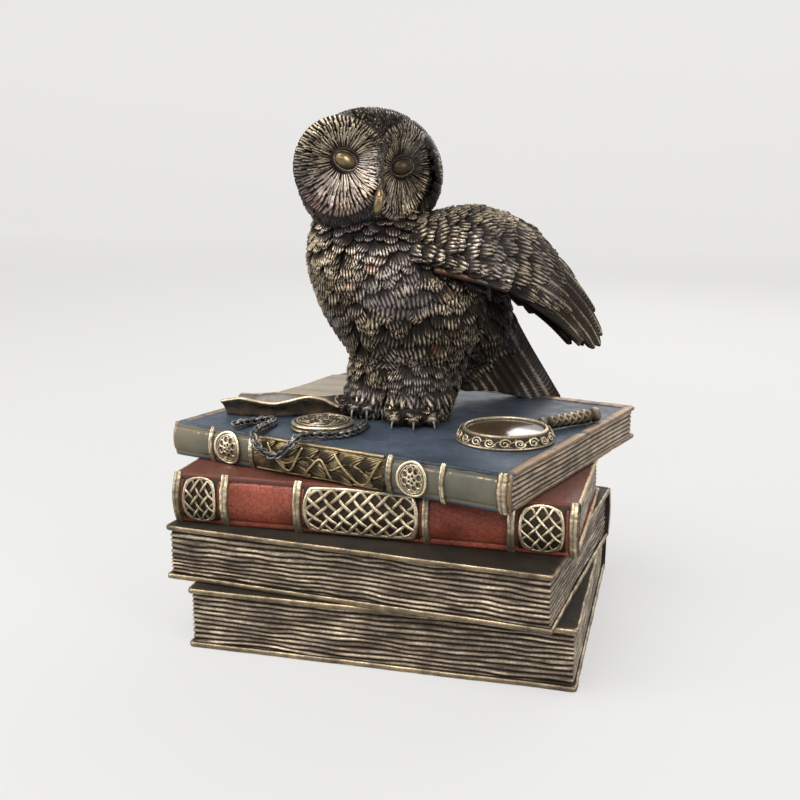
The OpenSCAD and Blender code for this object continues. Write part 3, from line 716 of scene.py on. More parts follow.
def facial_discs():
    shape = Shape()
    spin = around(72)[None, :]
    for side in (-1, 1):
        reach = np.linspace(0.01, 1.1, 22)[:, None]
        a = side * DISC_A + DISC_RA * reach * np.cos(spin)
        b = DISC_B + DISC_RB * reach * np.sin(spin)
        dish = face(a, b, -0.35)
        back = dish[-1:] * 0.62 + HEAD.c * 0.38 - 2 * FACE_N
        shape.grid(np.concatenate([dish, back, back.mean(1, keepdims=True) + 0 * back]), 0.05, wrap_v=True)
    for side in (-1, 1):
        for ring, (start, reach, count) in enumerate(((0.0, 0.55, 42), (0.16, 0.55, 52), (0.36, 0.56, 64),
                                                      (0.58, 0.58, 78))):
            turn = (np.arange(count) + rng.uniform(-0.25, 0.25, count) + 0.5 * ring) * TAU / count
            ca, cb = np.cos(turn), np.sin(turn)
            # distance from the eye to the disc's rim along each strand
            ea, eb = side * (EYE_A - DISC_A) / DISC_RA, (EYE_B - DISC_B) / DISC_RB
            ua, ub = ca / DISC_RA, cb / DISC_RB
            qa, qb, qc = ua ** 2 + ub ** 2, 2 * (ea * ua + eb * ub), ea ** 2 + eb ** 2 - 1
            far = (-qb + np.sqrt(qb ** 2 - 4 * qa * qc)) / (2 * qa)
            r0 = EYE_R + (far - EYE_R) * start
            length = (far - EYE_R) * reach * rng.uniform(0.85, 1.1, count) * (1.12 if side > 0 else 1.0)
            width = TAU * (r0 + length * 0.6) / count * 1.2
            vane = scallop(count, length, width, rows=9, ridges=1, ridge=0.24, root=-0.1, tip=0.34,
                           camber=0.22, waist=0.5, rounding=1.5, skirt=0.4, lit=-0.3)
            vane = (*vane[:3], np.clip(vane[3] * 1.25, 0, 1) ** 1.4)
            curl = rng.normal(0, 0.35, (count, 1, 1)) + 0.25 * side * np.sin(2 * turn)[:, None, None]
            vane = (vane[0], vane[1] + curl * (vane[0] / length.reshape(-1, 1, 1)) ** 2, vane[2], vane[3])
            # painted light: each disc lighter towards the beak, and the right disc, turned away, dimmed with
            # painted shade
            lit = (0.9 - 0.22 * side * ca) * (1 if side < 0 else 0.82)
            lay_on_face(shape, EYE_A * side + r0 * ca, EYE_B + r0 * cb, turn, vane,
                        rng.uniform(0.62, 1.1, count) * lit, np.where(cb < -0.75, 0.35, 0.0) * (ring == 3))
    disc_rims(shape)
    shape.build("owl_facial_discs_plumes", OWL, plumage, "lid", "plumage", ("owl_facial_discs",))


def disc_rims(shape):
    """The raised ruff of small curled feathers round each disc."""
    count, size, grown = 84, 1.9, 1.02
    for side in (-1, 1):
        t = around(count) + rng.uniform(-0.03, 0.03, count)
        a = side * DISC_A + DISC_RA * grown * np.cos(t)
        b = DISC_B + DISC_RB * grown * np.sin(t)
        free = side * a > 1.4
        turn = np.arctan2(np.sin(t) / DISC_RB, np.cos(t) / DISC_RA) + rng.normal(0, 0.12, count)
        low = smooth((-np.sin(t) - 0.45) / 0.4)
        vane = scallop(count, size * 1.25, size, rows=4, ridges=2, ridge=0.14, root=0.0, tip=0.5, camber=0.5,
                       lit=-0.1)
        vane = tuple(k[free] for k in vane)
        lay_on_face(shape, a[free], b[free], turn[free], vane, (0.75 + 0.2 * low)[free], (0.4 * low)[free])


def brow_feathers():
    """Small scales filling the V between the discs, running up from the beak to the crown."""
    shape = Shape()
    n = 420
    b = rng.uniform(-4.0, 15.5, n)
    b = b[np.argsort(-b)]
    a = rng.uniform(-1, 1, n) * (0.9 + 6.5 * smooth((b - 3) / 13))
    free = disc_reach(a, b) > 0.96
    a, b = a[free], b[free]
    size = rng.uniform(0.95, 1.5, len(a))
    turn = math.pi / 2 - 0.09 * a + rng.normal(0, 0.3, len(a))
    vane = scallop(len(a), size * 1.5, size, rows=4, ridges=2, ridge=0.13, root=0.0, tip=0.5, camber=0.3)
    lay_on_face(shape, a, b, turn, vane, rng.uniform(0.35, 0.75, len(a)))
    shape.build("owl_brow_feathers", OWL, plumage, "lid", "plumage")


def head_feathers():
    """Fine feathers over the crown, cheeks and nape, flowing back from the face and down."""
    shape = Shape()
    for ball in (HEAD, CHEEK):
        Ball(ball.c + [-1.5, 2.6, 0], ball.r - np.array([2.6, 4.2, 1.2])).skin(shape)
        roots = ball.spread(1.9)
        rel = roots - FACE_AT
        a, b = rel @ FACE_X, rel @ FACE_Z
        front = (roots - HEAD.c) @ FACE_N
        roots = roots[~((front > 3) & (disc_reach(a, b) < 1.03)) & (roots[:, 2] > 58)]
        behind = smooth((-(roots - HEAD.c) @ FACE_N + 4) / 14)[:, None]
        low = smooth((HEAD.c[2] + 2 - roots[:, 2]) / 14)[:, None]
        flow = -FACE_N * (1 - behind) * (1 - low) - UP * (behind + low) + 0.15 * unit(roots - HEAD.c)
        size = 2.4 * rng.uniform(0.85, 1.2, len(roots))
        vane = scallop(len(roots), size * 1.35, size, rows=4, ridges=3, ridge=0.15, root=-0.15, tip=0.6,
                       camber=0.25)
        grow(shape, ball, roots, flow, vane, rng.uniform(0.5, 0.95, len(roots)), sway=0.3)
    shape.build("owl_head_feathers", OWL, plumage, "lid", "plumage", ("owl_head",))


def owl_eyes():
    """Domed eyes in thin lids, slanting down to the beak, each under a heavier brow, with light and shade
    painted on the domes.
    """
    shape, lids = Shape(), Shape()
    t = np.linspace(0, math.pi / 2, 16)[:, None]
    turn = around(48)[None, :]
    # the second value is painted light: the left eye lit, the right eye, turned away, dimmed with painted
    # shade
    for side, painted_eye_light in ((-1, 0.85), (1, 0.36)):
        middle = face(EYE_A * side, EYE_B)
        tilt = 0.3 * side

        def at(x, y, h):
            a, b = x * math.cos(tilt) - y * math.sin(tilt), x * math.sin(tilt) + y * math.cos(tilt)
            return middle + a[..., None] * FACE_X + b[..., None] * FACE_Z + (h + 0 * a)[..., None] * FACE_N

        x, y = 3.6 * np.sin(t) * np.cos(turn), 2.5 * np.sin(t) * np.sin(turn)
        dome = at(x, y, 0.3 + 2.1 * np.cos(t))
        # painted highlight to the upper left and on the crown of each dome, painted shade towards the lower
        # right
        tone = painted_eye_light * np.clip(0.5 + 0.32 * (-0.5 * x + y) / 3.5 + 0.1 * np.cos(t), 0, 1)
        shape.grid(np.concatenate([dome, dome[-1:] - FACE_N * 2.5]), np.concatenate([tone, 0 * x[:1]]),
                   wrap_v=True)
        ring = turn[0]
        for grown, thick, high, tone in ((1.05, 0.2, 0.9, 0.5), (1.22, 0.13, 0.6, 0.35)):
            lids.tube(at(3.65 * grown * np.cos(ring), 2.55 * grown * np.sin(ring), high), thick, tone,
                      sides=8, up=FACE_N, closed=True)
        arc = np.linspace(0.05, math.pi - 0.2, 24)
        lids.tube(at(4.3 * np.cos(arc), 3.3 * np.sin(arc) + 0.1, 1.4),
                  np.interp(arc, [0, 1.5, 3.1], [0.15, 0.5, 0.15]), 0.3, sides=8, up=FACE_N)
    shape.build("owl_eye_domes", OWL, brass_eye, "lid", "eye_brass", ("owl_eyes",))
    lids.build("owl_eyelids", OWL, plumage, "lid", "plumage")


def owl_beak():
    """A short narrow hooked beak."""
    shape = Shape()
    line = curve([[0.0, -5.8, 0.6], [-0.4, -7.8, 1.9], [-0.7, -10.2, 2.3], [-0.6, -12.0, 1.6],
                  [-0.2, -13.0, 0.2]], 26)
    middle = face(0.2, -4.0)
    path = middle + line[:, :1] * FACE_X + (line[:, 1:2] + 4.0) * FACE_Z + line[:, 2:] * FACE_N
    width = np.interp(np.linspace(0, 1, 26), [0, 0.3, 0.7, 0.93, 1], [0.7, 1.45, 1.3, 0.7, 0.15])
    shape.tube(path, width, 0.62, sides=14, flat=1.3, up=FACE_N)
    shape.build("owl_beak_hook", OWL, brass_eye, "lid", "beak_brass", ("owl_beak",))


# ---------- wings and tail ----------
def wing_coverts(shape, sheet, side, a_range, b_range, gap, size, turn, bright=1.0, rows_ridges=(5, 4),
                 tint=0.0, jitter=5, lift=0.0):
    """Staggered rows of coverts over part of a sheet."""
    a_pts, b_pts = [], []
    along, over, _ = sheet.frame(np.array([sum(a_range) / 2]), np.array([0.5]))
    la, lb = float(np.linalg.norm(along)), float(np.linalg.norm(over))
    for k, a in enumerate(np.arange(a_range[0], a_range[1], gap[0] / la)[::-1]):
        for b in np.arange(b_range[0], b_range[1], gap[1] / lb) + 0.5 * (k % 2) * gap[1] / lb:
            a_pts.append(a + rng.normal(0, 0.1 * gap[0] / la))
            b_pts.append(b + rng.normal(0, 0.1 * gap[1] / lb))
    a, b = np.array(a_pts), np.array(b_pts)
    n = len(a)
    length = size[0] * rng.uniform(0.9, 1.15, n)
    width = size[1] * rng.uniform(0.85, 1.15, n)
    vane = scallop(n, length, width, rows=rows_ridges[0], ridges=rows_ridges[1], ridge=0.22, tip=1.1,
                   rounding=1.2, waist=0.35)
    heading = turn[0] + (turn[1] - turn[0]) * b + rng.normal(0, jitter, n)
    vane = (*vane[:2], vane[2] + lift, vane[3])
    lay(shape, sheet, a, b, heading, vane, side, bright * rng.uniform(0.8, 1.15, n), tint)


def flight_feathers(shape, sheet, side, roots, length, width, turn, bright=1.0, rows=30):
    """A fan of long feathers; each argument after side is a pair of values, at b = 0 and b = 1."""
    n = roots[2]
    k = np.linspace(0, 1, n)
    b = 0.04 + 0.92 * k
    a = roots[0] + (roots[1] - roots[0]) * k
    vane = quill(n, length[0] + (length[1] - length[0]) * k, width, rows=rows)
    lay(shape, sheet, a, b, turn[0] + (turn[1] - turn[0]) * k, vane, side, bright * rng.uniform(0.85, 1.1, n))


PRIMARIES = [(0.2, 0.84, 0.56, 1.07), (0.24, 0.72, 0.67, 1.1), (0.3, 0.6, 0.78, 1.1),
             (0.36, 0.48, 0.89, 1.03),
             (0.42, 0.37, 0.97, 0.8), (0.46, 0.26, 1.0, 0.5), (0.46, 0.14, 0.98, 0.2),
             (0.42, 0.03, 0.86, -0.02)]


def primaries(shape, sheet, side, spans, width, bright):
    """Long feathers, each from one (a, b) of the sheet to another, the outermost lying on top."""
    a0, b0, a1, b1 = np.array(spans).T
    along, over, _ = sheet.frame((a0 + a1) / 2, (b0 + b1) / 2)
    dx, dy = (a1 - a0) * np.linalg.norm(along, axis=-1), (b1 - b0) * np.linalg.norm(over, axis=-1)
    n = len(a0)
    vane = quill(n, np.hypot(dx, dy), width, rows=100, tip=1.5, root=0.1, taper=1.0, barbs=4, ridge=0.1)
    lift = (np.arange(n) * 0.16)[:, None, None]
    lay(shape, sheet, a0, b0, np.degrees(np.arctan2(dy, dx)), (vane[0], vane[1], vane[2] + lift, vane[3]),
        side, bright * rng.uniform(0.85, 1.1, n))


def owl_raised_wing():
    shape = Shape()
    WING.slab(shape, reach=0.6)
    primaries(shape, WING, 1, PRIMARIES, 8.4, 0.85)
    primaries(shape, WING, -1, PRIMARIES[::-1], 8.4, 0.75)
    secondaries = [(a - 0.16, b, a + 0.26, b + 0.13)
                   for a, b in zip(np.linspace(0.24, 0.42, 7), np.linspace(0.86, 0.08, 7))]
    primaries(shape, WING, 1, secondaries, 6.4, 0.85)
    wing_coverts(shape, WING, 1, (0.16, 0.54), (0.04, 0.9), (5.0, 5.0), (9.5, 7.2), (-2, 14), 0.85, (8, 5),
                 jitter=9, lift=1.7)
    wing_coverts(shape, WING, 1, (-0.14, 0.3), (0.0, 0.92), (3.2, 3.4), (5.8, 4.8), (-10, 25), 1.1, (7, 4),
                 jitter=18, lift=2.0)
    wing_coverts(shape, WING, -1, (0.0, 0.5), (0.02, 0.94), (5.0, 4.4), (9.0, 6.0), (0, 20), 0.75, (7, 4),
                 jitter=9, lift=1.5)
    leading_edge(shape)
    shape.build("owl_raised_wing", OWL, plumage, "lid", "plumage", ("owl_left_wing",))


def leading_edge(shape):
    """Broad feathers with slanting barbs that turn over the wing's front edge, copper along its rim."""
    for a0, a1, b, size, bright in ((0.02, 0.3, 0.1, (7.0, 5.4), 1.35), (0.24, 0.6, 0.12, (10.5, 6.6), 1.1)):
        a = np.arange(a0, a1, 0.075)
        n = len(a)
        vane = scallop(n, size[0], size[1], rows=7, ridges=7, ridge=0.22, tip=1.4, rounding=1.4)
        lay(shape, WING, a, np.full(n, b), 6.0, vane, 1, bright, 0.12)
    path = WING.point(np.linspace(0.02, 0.9, 60), np.full(60, -0.01))
    shape.tube(path, np.interp(np.linspace(0, 1, 60), [0, 0.5, 1], [1.2, 0.9, 0.6]), 0.75, 0.6, sides=8)


def owl_folded_wing():
    shape = Shape()
    FOLDED.slab(shape)
    flight_feathers(shape, FOLDED, 1, (0.3, 0.42, 6), (40, 34), 5.6, (2, -4), 0.8, rows=44)
    flight_feathers(shape, FOLDED, 1, (0.14, 0.2, 6), (24, 22), 5.4, (2, -2), 0.8, rows=30)
    wing_coverts(shape, FOLDED, 1, (-0.02, 0.3), (0.0, 1.0), (3.4, 3.6), (5.6, 4.4), (0, 0), 0.85)
    shape.build("owl_folded_wing", OWL, plumage, "lid", "plumage", ("owl_right_wing",))


def owl_tail():
    shape = Shape()
    TAIL.slab(shape, reach=0.82)
    b = np.linspace(0.97, 0.05, 8)
    spans = [(0.1, k, 0.95 + 0.1 * k, 0.06 + 0.98 * k) for k in b]
    primaries(shape, TAIL, 1, spans, 8.2, 0.75)
    primaries(shape, TAIL, -1, spans[::-1], 8.2, 0.65)
    wing_coverts(shape, TAIL, 1, (-0.02, 0.5), (0.0, 1.02), (5.0, 4.6), (9.0, 6.4), (4, -4), 0.75, (7, 4),
                 jitter=10, lift=1.6)
    wing_coverts(shape, TAIL, -1, (-0.02, 0.5), (0.0, 1.02), (5.0, 4.6), (9.0, 6.4), (4, -4), 0.6, (7, 4),
                 jitter=10, lift=1.6)
    shape.build("owl_tail_fan", OWL, plumage, "lid", "plumage", ("owl_tail",))


# ---------- feet ----------
TOES = [(-11.5, -14, 18, 6.0, 1.9), (-7, -15, 2, 6.4, 1.9), (-2.8, -14, -14, 6.0, 1.9),
        (-25, -4, 16, 5.0, 3.2), (-21.6, -5, 4, 5.4, 3.2), (-18.2, -4.6, -8, 5.0, 3.2)]


def owl_feet():
    toes, claws = Shape(), Shape()
    for x, y, turn, length, high in TOES:
        d, _ = level(-90 - turn)
        start = np.array([x, y, high])
        t = np.linspace(-0.35, 1, 16)[:, None]
        path = start + d * t * length + np.array([0, 0, 0.5]) * np.sin(math.pi * np.clip(t, 0, 1))
        lumps = 1.55 + 0.22 * np.sin(t[:, 0] * 22)
        toes.tube(path, lumps, 0.55, sides=12)
        knuckle = start + d * length
        bow = curve([knuckle + [0, 0, 0.2], knuckle + d * 1.2 + [0, 0, 0.5], knuckle + d * 2.3 + [0, 0, -0.3],
                     knuckle + d * 3.0 + [0, 0, 0.25 - high]], 16)
        claws.tube(bow, np.linspace(0.7, 0.14, 16), 0.5, sides=10)
    toes.build("owl_toes", OWL, plumage, "lid", "plumage", ("owl_feet",))
    claws.build("owl_talons", OWL, silver, "lid", "claw_silver", ("owl_claws",))


# ---------- books ----------
HOLE_AT, HOLE = np.array([-4.5, -9.0]), (86.0, 48.0)  # the compartment's middle and outer size
PAGE_INSET = 1.2


def rounded(w, d, r, n):
    """n points evenly round a rectangle with rounded corners, with the way out at each."""
    corner = np.linspace(0, math.pi / 2, 13)
    pts = np.concatenate([np.stack([sx * (w / 2 - r), sy * (d / 2 - r)]) + r * np.stack(
        [np.cos(corner + turn), np.sin(corner + turn)], -1)
        for sx, sy, turn in ((1, 1, 0), (-1, 1, math.pi / 2), (-1, -1, math.pi), (1, -1, 1.5 * math.pi))])
    pts = np.concatenate([pts, pts[:1]])
    run = np.concatenate([[0], np.cumsum(np.linalg.norm(np.diff(pts, axis=0), axis=1))])
    s = np.linspace(0, run[-1], n, endpoint=False)
    return np.stack([np.interp(s, run, pts[:, k]) for k in (0, 1)], -1), s


def hole_ring(book, n):
    """The compartment's outline in the frame of a book it passes through, in n points."""
    pts, _ = rounded(*HOLE, 1.0, n)
    turn = book.place.rot[:2, :2]
    return (pts + HOLE_AT - book.place.at[:2]) @ turn


def plate(shape, book, z0, z1, corner, n=420, hole=False, seed=0, top_rings=(), spine_shift=0.0, age_tint_and_painted_light=0.0):
    """A board of the cover: worn edges, and on top rings (inset, drop, tone) that draw its border."""
    w, d = book.w, book.d - book.bulge * 0.6
    ring, s = rounded(w, d, corner, n)
    ring = ring + np.array([0, book.side * book.bulge * 0.3])
    half = np.array([w / 2, d / 2])
    nick = 0.22 * noise(s / 5, 0, seed) + 0.16 * noise(s / 1.3, 3, seed)
    wave = 0.18 * (noise(s / 16, 7, seed) - 0.5)
    calm = 1 - 0.85 * smooth((-ring[:, 1] * book.side - book.d / 2 + 4.5) / 1.5)
    inner = hole_ring(book, n) if hole else 0.0 * ring

    def at(inset, z, tone):
        k = 1 - (inset + nick) / half.max()
        p = np.concatenate([ring * k[:, None], (z + wave)[:, None]], 1)
        p[:, 1] -= book.side * spine_shift * smooth((inset - 0.8) / 1.6)
        return p, tone * (0.55 + 0.6 * noise(s / 2.2, z, seed + 5)) * calm

    def lerp(f, z, tone):
        p = np.concatenate([ring * (1 - f) * 0.96 + inner * f, np.full((n, 1), z)], 1)
        return p, np.full(n, tone)

    rows = [lerp(1.0, z0, 0.0), at(2.0, z0, 0.05), at(0.5, z0, 0.6), at(0.12, z0 + 0.18, 0.9),
            at(0.0, (z0 + z1) / 2, 0.7), at(0.12, z1 - 0.18, 1.0), at(0.45, z1, 1.0)]
    rows += [at(inset, z1 - drop, tone) for inset, drop, tone in top_rings]
    _, drop, tone = top_rings[-1]
    rows += [lerp(f, z1 - drop, tone) for f in (0.3, 0.6, 1.0)]
    # the tint passed on here is painted shade where it is set, on the red book's top board
    shape.grid(np.stack([k[0] for k in rows]), np.stack([k[1] for k in rows]), age_tint_and_painted_light, wrap_u=hole, wrap_v=True)


def spine_shell(shape, book, seed, age_tint_and_painted_light=0.0, worn=0.0):
    """The rounded back of the cover: a closed strip with creased leather along its joints."""
    u = np.linspace(-book.w / 2 + 0.25, book.w / 2 - 0.25, 360)[:, None]
    s = np.linspace(-1, 1, 44)[None, :]
    mm = s * book.h / 2
    bump = 0.12 * (noise(u / 7, mm / 5, seed) + 0.5 * noise(u / 2.2, mm / 2, seed) - 0.75)
    joint = -0.3 * np.exp(-((np.abs(mm) - book.h / 2 + 1.7) / 0.4) ** 2)
    outer = book.spine(u, s, bump + joint)
    inner = book.spine(u, s[:, ::-1], -book.board * 1.6)
    edge = 0.3 * smooth((np.abs(mm) - book.h / 2 + 1.1) / 0.8) + smooth((np.abs(u) - book.w / 2 + 1.4) / 0.8)
    tone = np.clip(edge, 0, 1) * (0.5 + 0.6 * noise(u / 2.5, mm, seed))
    # painted highlight: a speckled bright streak along the upper bulge of the spine, drawn as rubbed bronze
    # and scaled by the tint
    painted_highlight = np.exp(-((mm - book.h * 0.27 - 0.5 * noise(u / 3, 0, seed + 3)) / 0.3) ** 2)
    tone = tone + 0.9 * age_tint_and_painted_light * painted_highlight * noise(u / 0.7, 1, seed + 4)
    tone = tone + worn * (0.25 + noise(u / 9, mm / 3, seed + 6) * noise(u / 1.1, mm / 0.9, seed + 7))
    ring = np.concatenate([outer, inner], 1)
    tones = np.concatenate([tone, 0.2 + 0 * tone], 1)
    shape.grid(capped(ring), np.concatenate([tones[:1], tones, tones[-1:]]), age_tint_and_painted_light, wrap_v=True)


def page_block(book, name, pitch, depth, seed, hole=False, n=760, rows=112, crisp=1.0, sway=1.0, calm=0.6):
    """Pages: wandering ridges round the fore-edge and both ends, which run together and part again."""
    shape = Shape()
    w, d = book.w - 2 * PAGE_INSET, book.d - PAGE_INSET - book.bulge - book.board
    ring, s = rounded(w, d, 0.8, n)
    ring = ring + np.array([0, book.side * (book.bulge + book.board - PAGE_INSET) / 2])
    inner = hole_ring(book, n) if hole else ring * 0.02
    z = np.linspace(book.board - 0.05, book.h - book.board + 0.05, rows)[:, None]
    s = s[None, :]
    loop = s[0, -1] + s[0, 1]
    blend = smooth((s - loop + 12) / 12)

    def wander(a, b, k):
        return noise(s / a, z / b, k) * (1 - blend) + noise((s - loop) / a, z / b, k) * blend

    phase = z / pitch + sway * (1.1 * wander(26, 9, seed) + 0.45 * wander(7, 3.5, seed + 1))
    crest = 0.5 + 0.5 * np.cos(TAU * phase)
    ridge = crest ** (0.55 / crisp) * (calm + (1 - calm) * wander(11, 1.3, seed + 2))
    ridge = ridge + 0.2 * wander(2.2, 0.45, seed + 3)
    cut = depth * (1 - np.clip(ridge, 0, 1.1))
    half = np.array([w / 2, d / 2])
    middle = ring.mean(0)
    out = ring - middle
    side_on = np.abs(out[:, 0]) / half[0] > np.abs(out[:, 1]) / half[1]
    way = unit(np.where(np.abs(out) > half - 0.8, np.sign(out), 0.0) + 1e-6 * side_on[:, None])
    p = np.concatenate([np.broadcast_to(ring, (rows, n, 2)) - way * cut[..., None],
                        z[..., None] + 0 * cut[..., None]], 2)
    tone = np.clip((ridge - 0.25) * 1.25, 0, 1) * (0.3 + 0.5 * calm + (1.1 - calm) * wander(6, 1.2, seed + 4))
    bottom, top = (np.concatenate([inner, np.full((n, 1), z[k, 0])], 1)[None] for k in (0, -1))
    tones = np.concatenate([0 * tone[:1], tone, 0 * tone[:1]])
    shape.grid(np.concatenate([bottom, p, top]), tones, wrap_u=hole, wrap_v=True)
    body = "box" if hole else "lid"
    shape.build(name, book.place, paper, body, "page_bronze", (name.replace("_block", ""),))


def rib(shape, book, u0, u1, raised, seed=0, tone=0.95):
    """A raised band round the spine."""
    t = np.linspace(0, 1, 9)
    prof = raised * np.array([-0.6, 0.35, 0.85, 1.0, 0.86, 1.0, 0.85, 0.35, -0.6])
    shade = tone * np.array([0.0, 0.35, 0.9, 1.0, 0.55, 1.0, 0.9, 0.35, 0.0])
    s = np.linspace(-1.0, 1.0, 40)[:, None]
    u = (u0 + (u1 - u0) * t)[None, :] + 0.12 * (noise(s * 5, 0, seed) - 0.5)
    out = prof[None, :] + 0.16 * (noise(s * 9, t[None, :] * 2, seed) - 0.5)
    near = book.spine(u, s, out)
    shape.grid(near, shade[None, :] * (0.6 + 0.5 * noise(s * 12, t[None, :] * 3, seed + 2)))
    shape.grid(book.spine(u[:, ::-1], s, -0.6 + 0 * out), 0.0)


def plait(w, h):
    """Closed strands of plaitwork on a w by h lattice, as (i, j, over): over is 1, under -1, at a wall 0."""
    paths, used = [], set()
    for ci in range(w):
        for cj in range(h):
            if (ci, cj) in used:
                continue
            i, j, di, dj = (ci, cj, 1, 1) if (ci + cj) % 2 else (ci, cj + 1, 1, -1)
            path = []
            while True:
                cell = (min(i, i + di), min(j, j + dj))
                if cell in used:
                    break
                used.add(cell)
                wall = i in (0, w) or j in (0, h)
                rising = di == dj
                path.append((i, j, 0 if wall else (1 if rising == (i % 2 == 0) else -1)))
                i, j = i + di, j + dj
                di = -di if i in (0, w) else di
                dj = -dj if j in (0, h) else dj
            paths.append(path)
    return paths


def on_spine(book, u0=0.0):
    """A chart of the spine in millimetres: a along it, b up it, h proud of it."""

    def chart(a, b, h=0.0):
        return book.spine(np.asarray(a, float) + u0, np.asarray(b, float) / (book.h / 2), h)
    return chart


def spine_tube(shape, book, u, b, out, radius, tone, closed=False, flat=0.8, sides=8):
    chart = on_spine(book)
    path = chart(u, b, out)
    shape.tube(path, radius, tone, sides=sides, flat=flat, up=unit(chart(u, b, out + 1) - path),
               closed=closed)


def ground(shape, book, u0, u1, out=0.12, tone=0.08, margin=0.35):
    """The dark cast ground that a panel's relief stands on."""
    u = np.linspace(u0, u1, 40)[:, None]
    s = np.linspace(-1, 1, 30)[None, :] * (1 - margin / (book.h / 2))
    shape.grid(book.spine(u, s, out + 0.1 * noise(u, s * 6, 3)), tone * (0.5 + noise(u * 2, s * 14, 4)))


def knot_panel(shape, book, u0, u1, cells_u, cells_b, radius, round_off):
    """A panel of plaitwork drawn in to a rounded outline, inside one heavier strand."""
    ground(shape, book, u0, u1)
    middle, wide, rise = (u0 + u1) / 2, (u1 - u0) / 2 - 0.6, book.h / 2 - 1.3

    def drawn_in(x, y):
        return middle + wide * x * np.sqrt(1 - round_off * y * y), rise * y * np.sqrt(1 - round_off * x * x)

    t = np.linspace(-1, 1, 24, endpoint=False)
    one = np.ones(24)
    u, b = drawn_in(np.concatenate([t, one, -t, -one]), np.concatenate([-one, t, one, -t]))
    spine_tube(shape, book, u, b, 0.45 + 0 * u, radius * 1.15, 0.9, closed=True)
    for path in plait(cells_u, cells_b):
        i, j, over = np.array(path, float).T
        u, b = drawn_in(0.97 * (2 * i / cells_u - 1), 0.94 * (2 * j / cells_b - 1))
        bend = curve(np.stack([u, b, 0.45 + 0.26 * over], -1), 10 * len(path), closed=True)
        spine_tube(shape, book, bend[:, 0], bend[:, 1], bend[:, 2], radius,
                   0.62 + 0.38 * smooth((bend[:, 2] - 0.2) * 2), closed=True)


def red_spine():
    ribs = Shape()
    for k, (u0, u1) in enumerate(((-61.7, -58.5), (-46.4, -42.9), (-23.1, -19.6), (16.4, 19.4), (41, 44.2),
                                  (58.3, 61.7))):
        rib(ribs, red_book, u0, u1, 0.95, k)
    ribs.build("red_ribs_cast", red_book.place, relief, "lid", "spine_relief", ("red_spine_ribs",))
    centre, ends = Shape(), Shape()
    knot_panel(centre, red_book, -19.2, 16.0, 14, 6, 0.6, 0.16)
    centre.build("red_centre_knot", red_book.place, relief, "lid", "spine_relief", ("red_centre_panel",))
    for u0, u1 in ((-58.1, -46.8), (44.6, 57.9)):
        knot_panel(ends, red_book, u0, u1, 6, 6, 0.42, 0.34)
    ends.build("red_end_knots", red_book.place, relief, "lid", "spine_relief", ("red_end_panels",))


def medallion(shape, book, u0, radius=4.6):
    """A round boss in a double rim, pierced by a ring of round hollows about a smaller ring."""
    chart = on_spine(book, u0)
    turn = np.linspace(0, TAU, 96, endpoint=False)
    r = np.linspace(0.01, radius, 30)[:, None]
    x, y = r * np.cos(turn), r * np.sin(turn)
    open_to = np.ones_like(x)
    for count, at, hole in ((8, 2.45, 0.72), (5, 0.95, 0.36), (8, 3.35, 0.22)):
        for k in range(count):
            a = (k + 0.35 * (count == 8) + 0.5 * (at > 3)) * TAU / count
            gap = np.hypot(x - at * math.cos(a), y - at * math.sin(a)) / hole
            open_to = np.minimum(open_to, smooth((gap - 0.75) / 0.45))
    shape.grid(chart(x, y, 0.1 + 0.6 * open_to - 0.02 * r * r),
               0.8 * open_to * (0.7 + 0.4 * noise(x, y, 5)), wrap_v=True)
    for ring, thick, out, tone in ((radius, 0.5, 0.55, 1.0), (radius - 0.85, 0.2, 0.6, 0.75)):
        spine_tube(shape, book, u0 + ring * np.cos(turn), ring * np.sin(turn), out + 0 * turn, thick, tone,
                   closed=True)


def leaf_panel():
    """Large veined leaves on a winding stem, with a ribbon looped over them."""
    shape = Shape()
    ground(shape, blue_book, -26.4, 20.4, tone=0.45)
    for b, thick in ((blue_book.h / 2 - 0.9, 0.5), (0.9 - blue_book.h / 2, 0.4)):
        u = np.linspace(-26, 20, 120)
        spine_tube(shape, blue_book, u, b + 0.2 * noise(u / 3, b, 7), 0.4 + 0 * u, thick, 0.75)
    chart = on_spine(blue_book)
    u = np.linspace(-26, 20, 160)
    stem = 1.3 * np.sin((u + 26) * TAU / 15.5)
    spine_tube(shape, blue_book, u, stem, 0.5 + 0.1 * np.sin(u * 3), 0.34, 0.75)
    starts = np.arange(-25.0, 18, 3.7)
    n = len(starts)
    up = np.where(np.arange(n) % 2 == 0, 1.0, -1.0)
    turn = up * np.radians(rng.uniform(25, 48, n))
    b = 1.3 * np.sin((starts + 26) * TAU / 15.5)
    length = rng.uniform(8.5, 11.0, n)
    vane = scallop(n, length, 4.6, rows=14, ridges=5, ridge=0.26, root=0.3, tip=0.75, camber=0.6, waist=0.3,
                   rounding=2.7, skirt=0.7)
    x, y, h, tone = vane
    clip_b = blue_book.h / 2 - 0.9

    def leaf_chart(aa, bb, hh):
        return chart(np.clip(aa, -26.2, 20.2), clip_b * np.tanh(bb / clip_b), hh)

    lay_on_face(shape, starts, b, turn, (x, y, h, tone * 1.5), rng.uniform(0.8, 1.1, n), chart=leaf_chart)
    for start, run, dip in ((-21, 13, 6.4), (-7, 9.5, -4.6), (3.5, 16, 6.8)):
        v = np.linspace(0, 1, 40)
        b = np.sign(dip) * 3.6 - dip * np.sin(math.pi * v) * (1 - 0.2 * np.sin(TAU * v))
        spine_tube(shape, blue_book, start + run * v, b, 1.05 + 0 * v, 0.42, 0.85)
    shape.build("blue_leaves_cast", blue_book.place, leafwork, "lid", "spine_relief", ("blue_leaf_panel",))


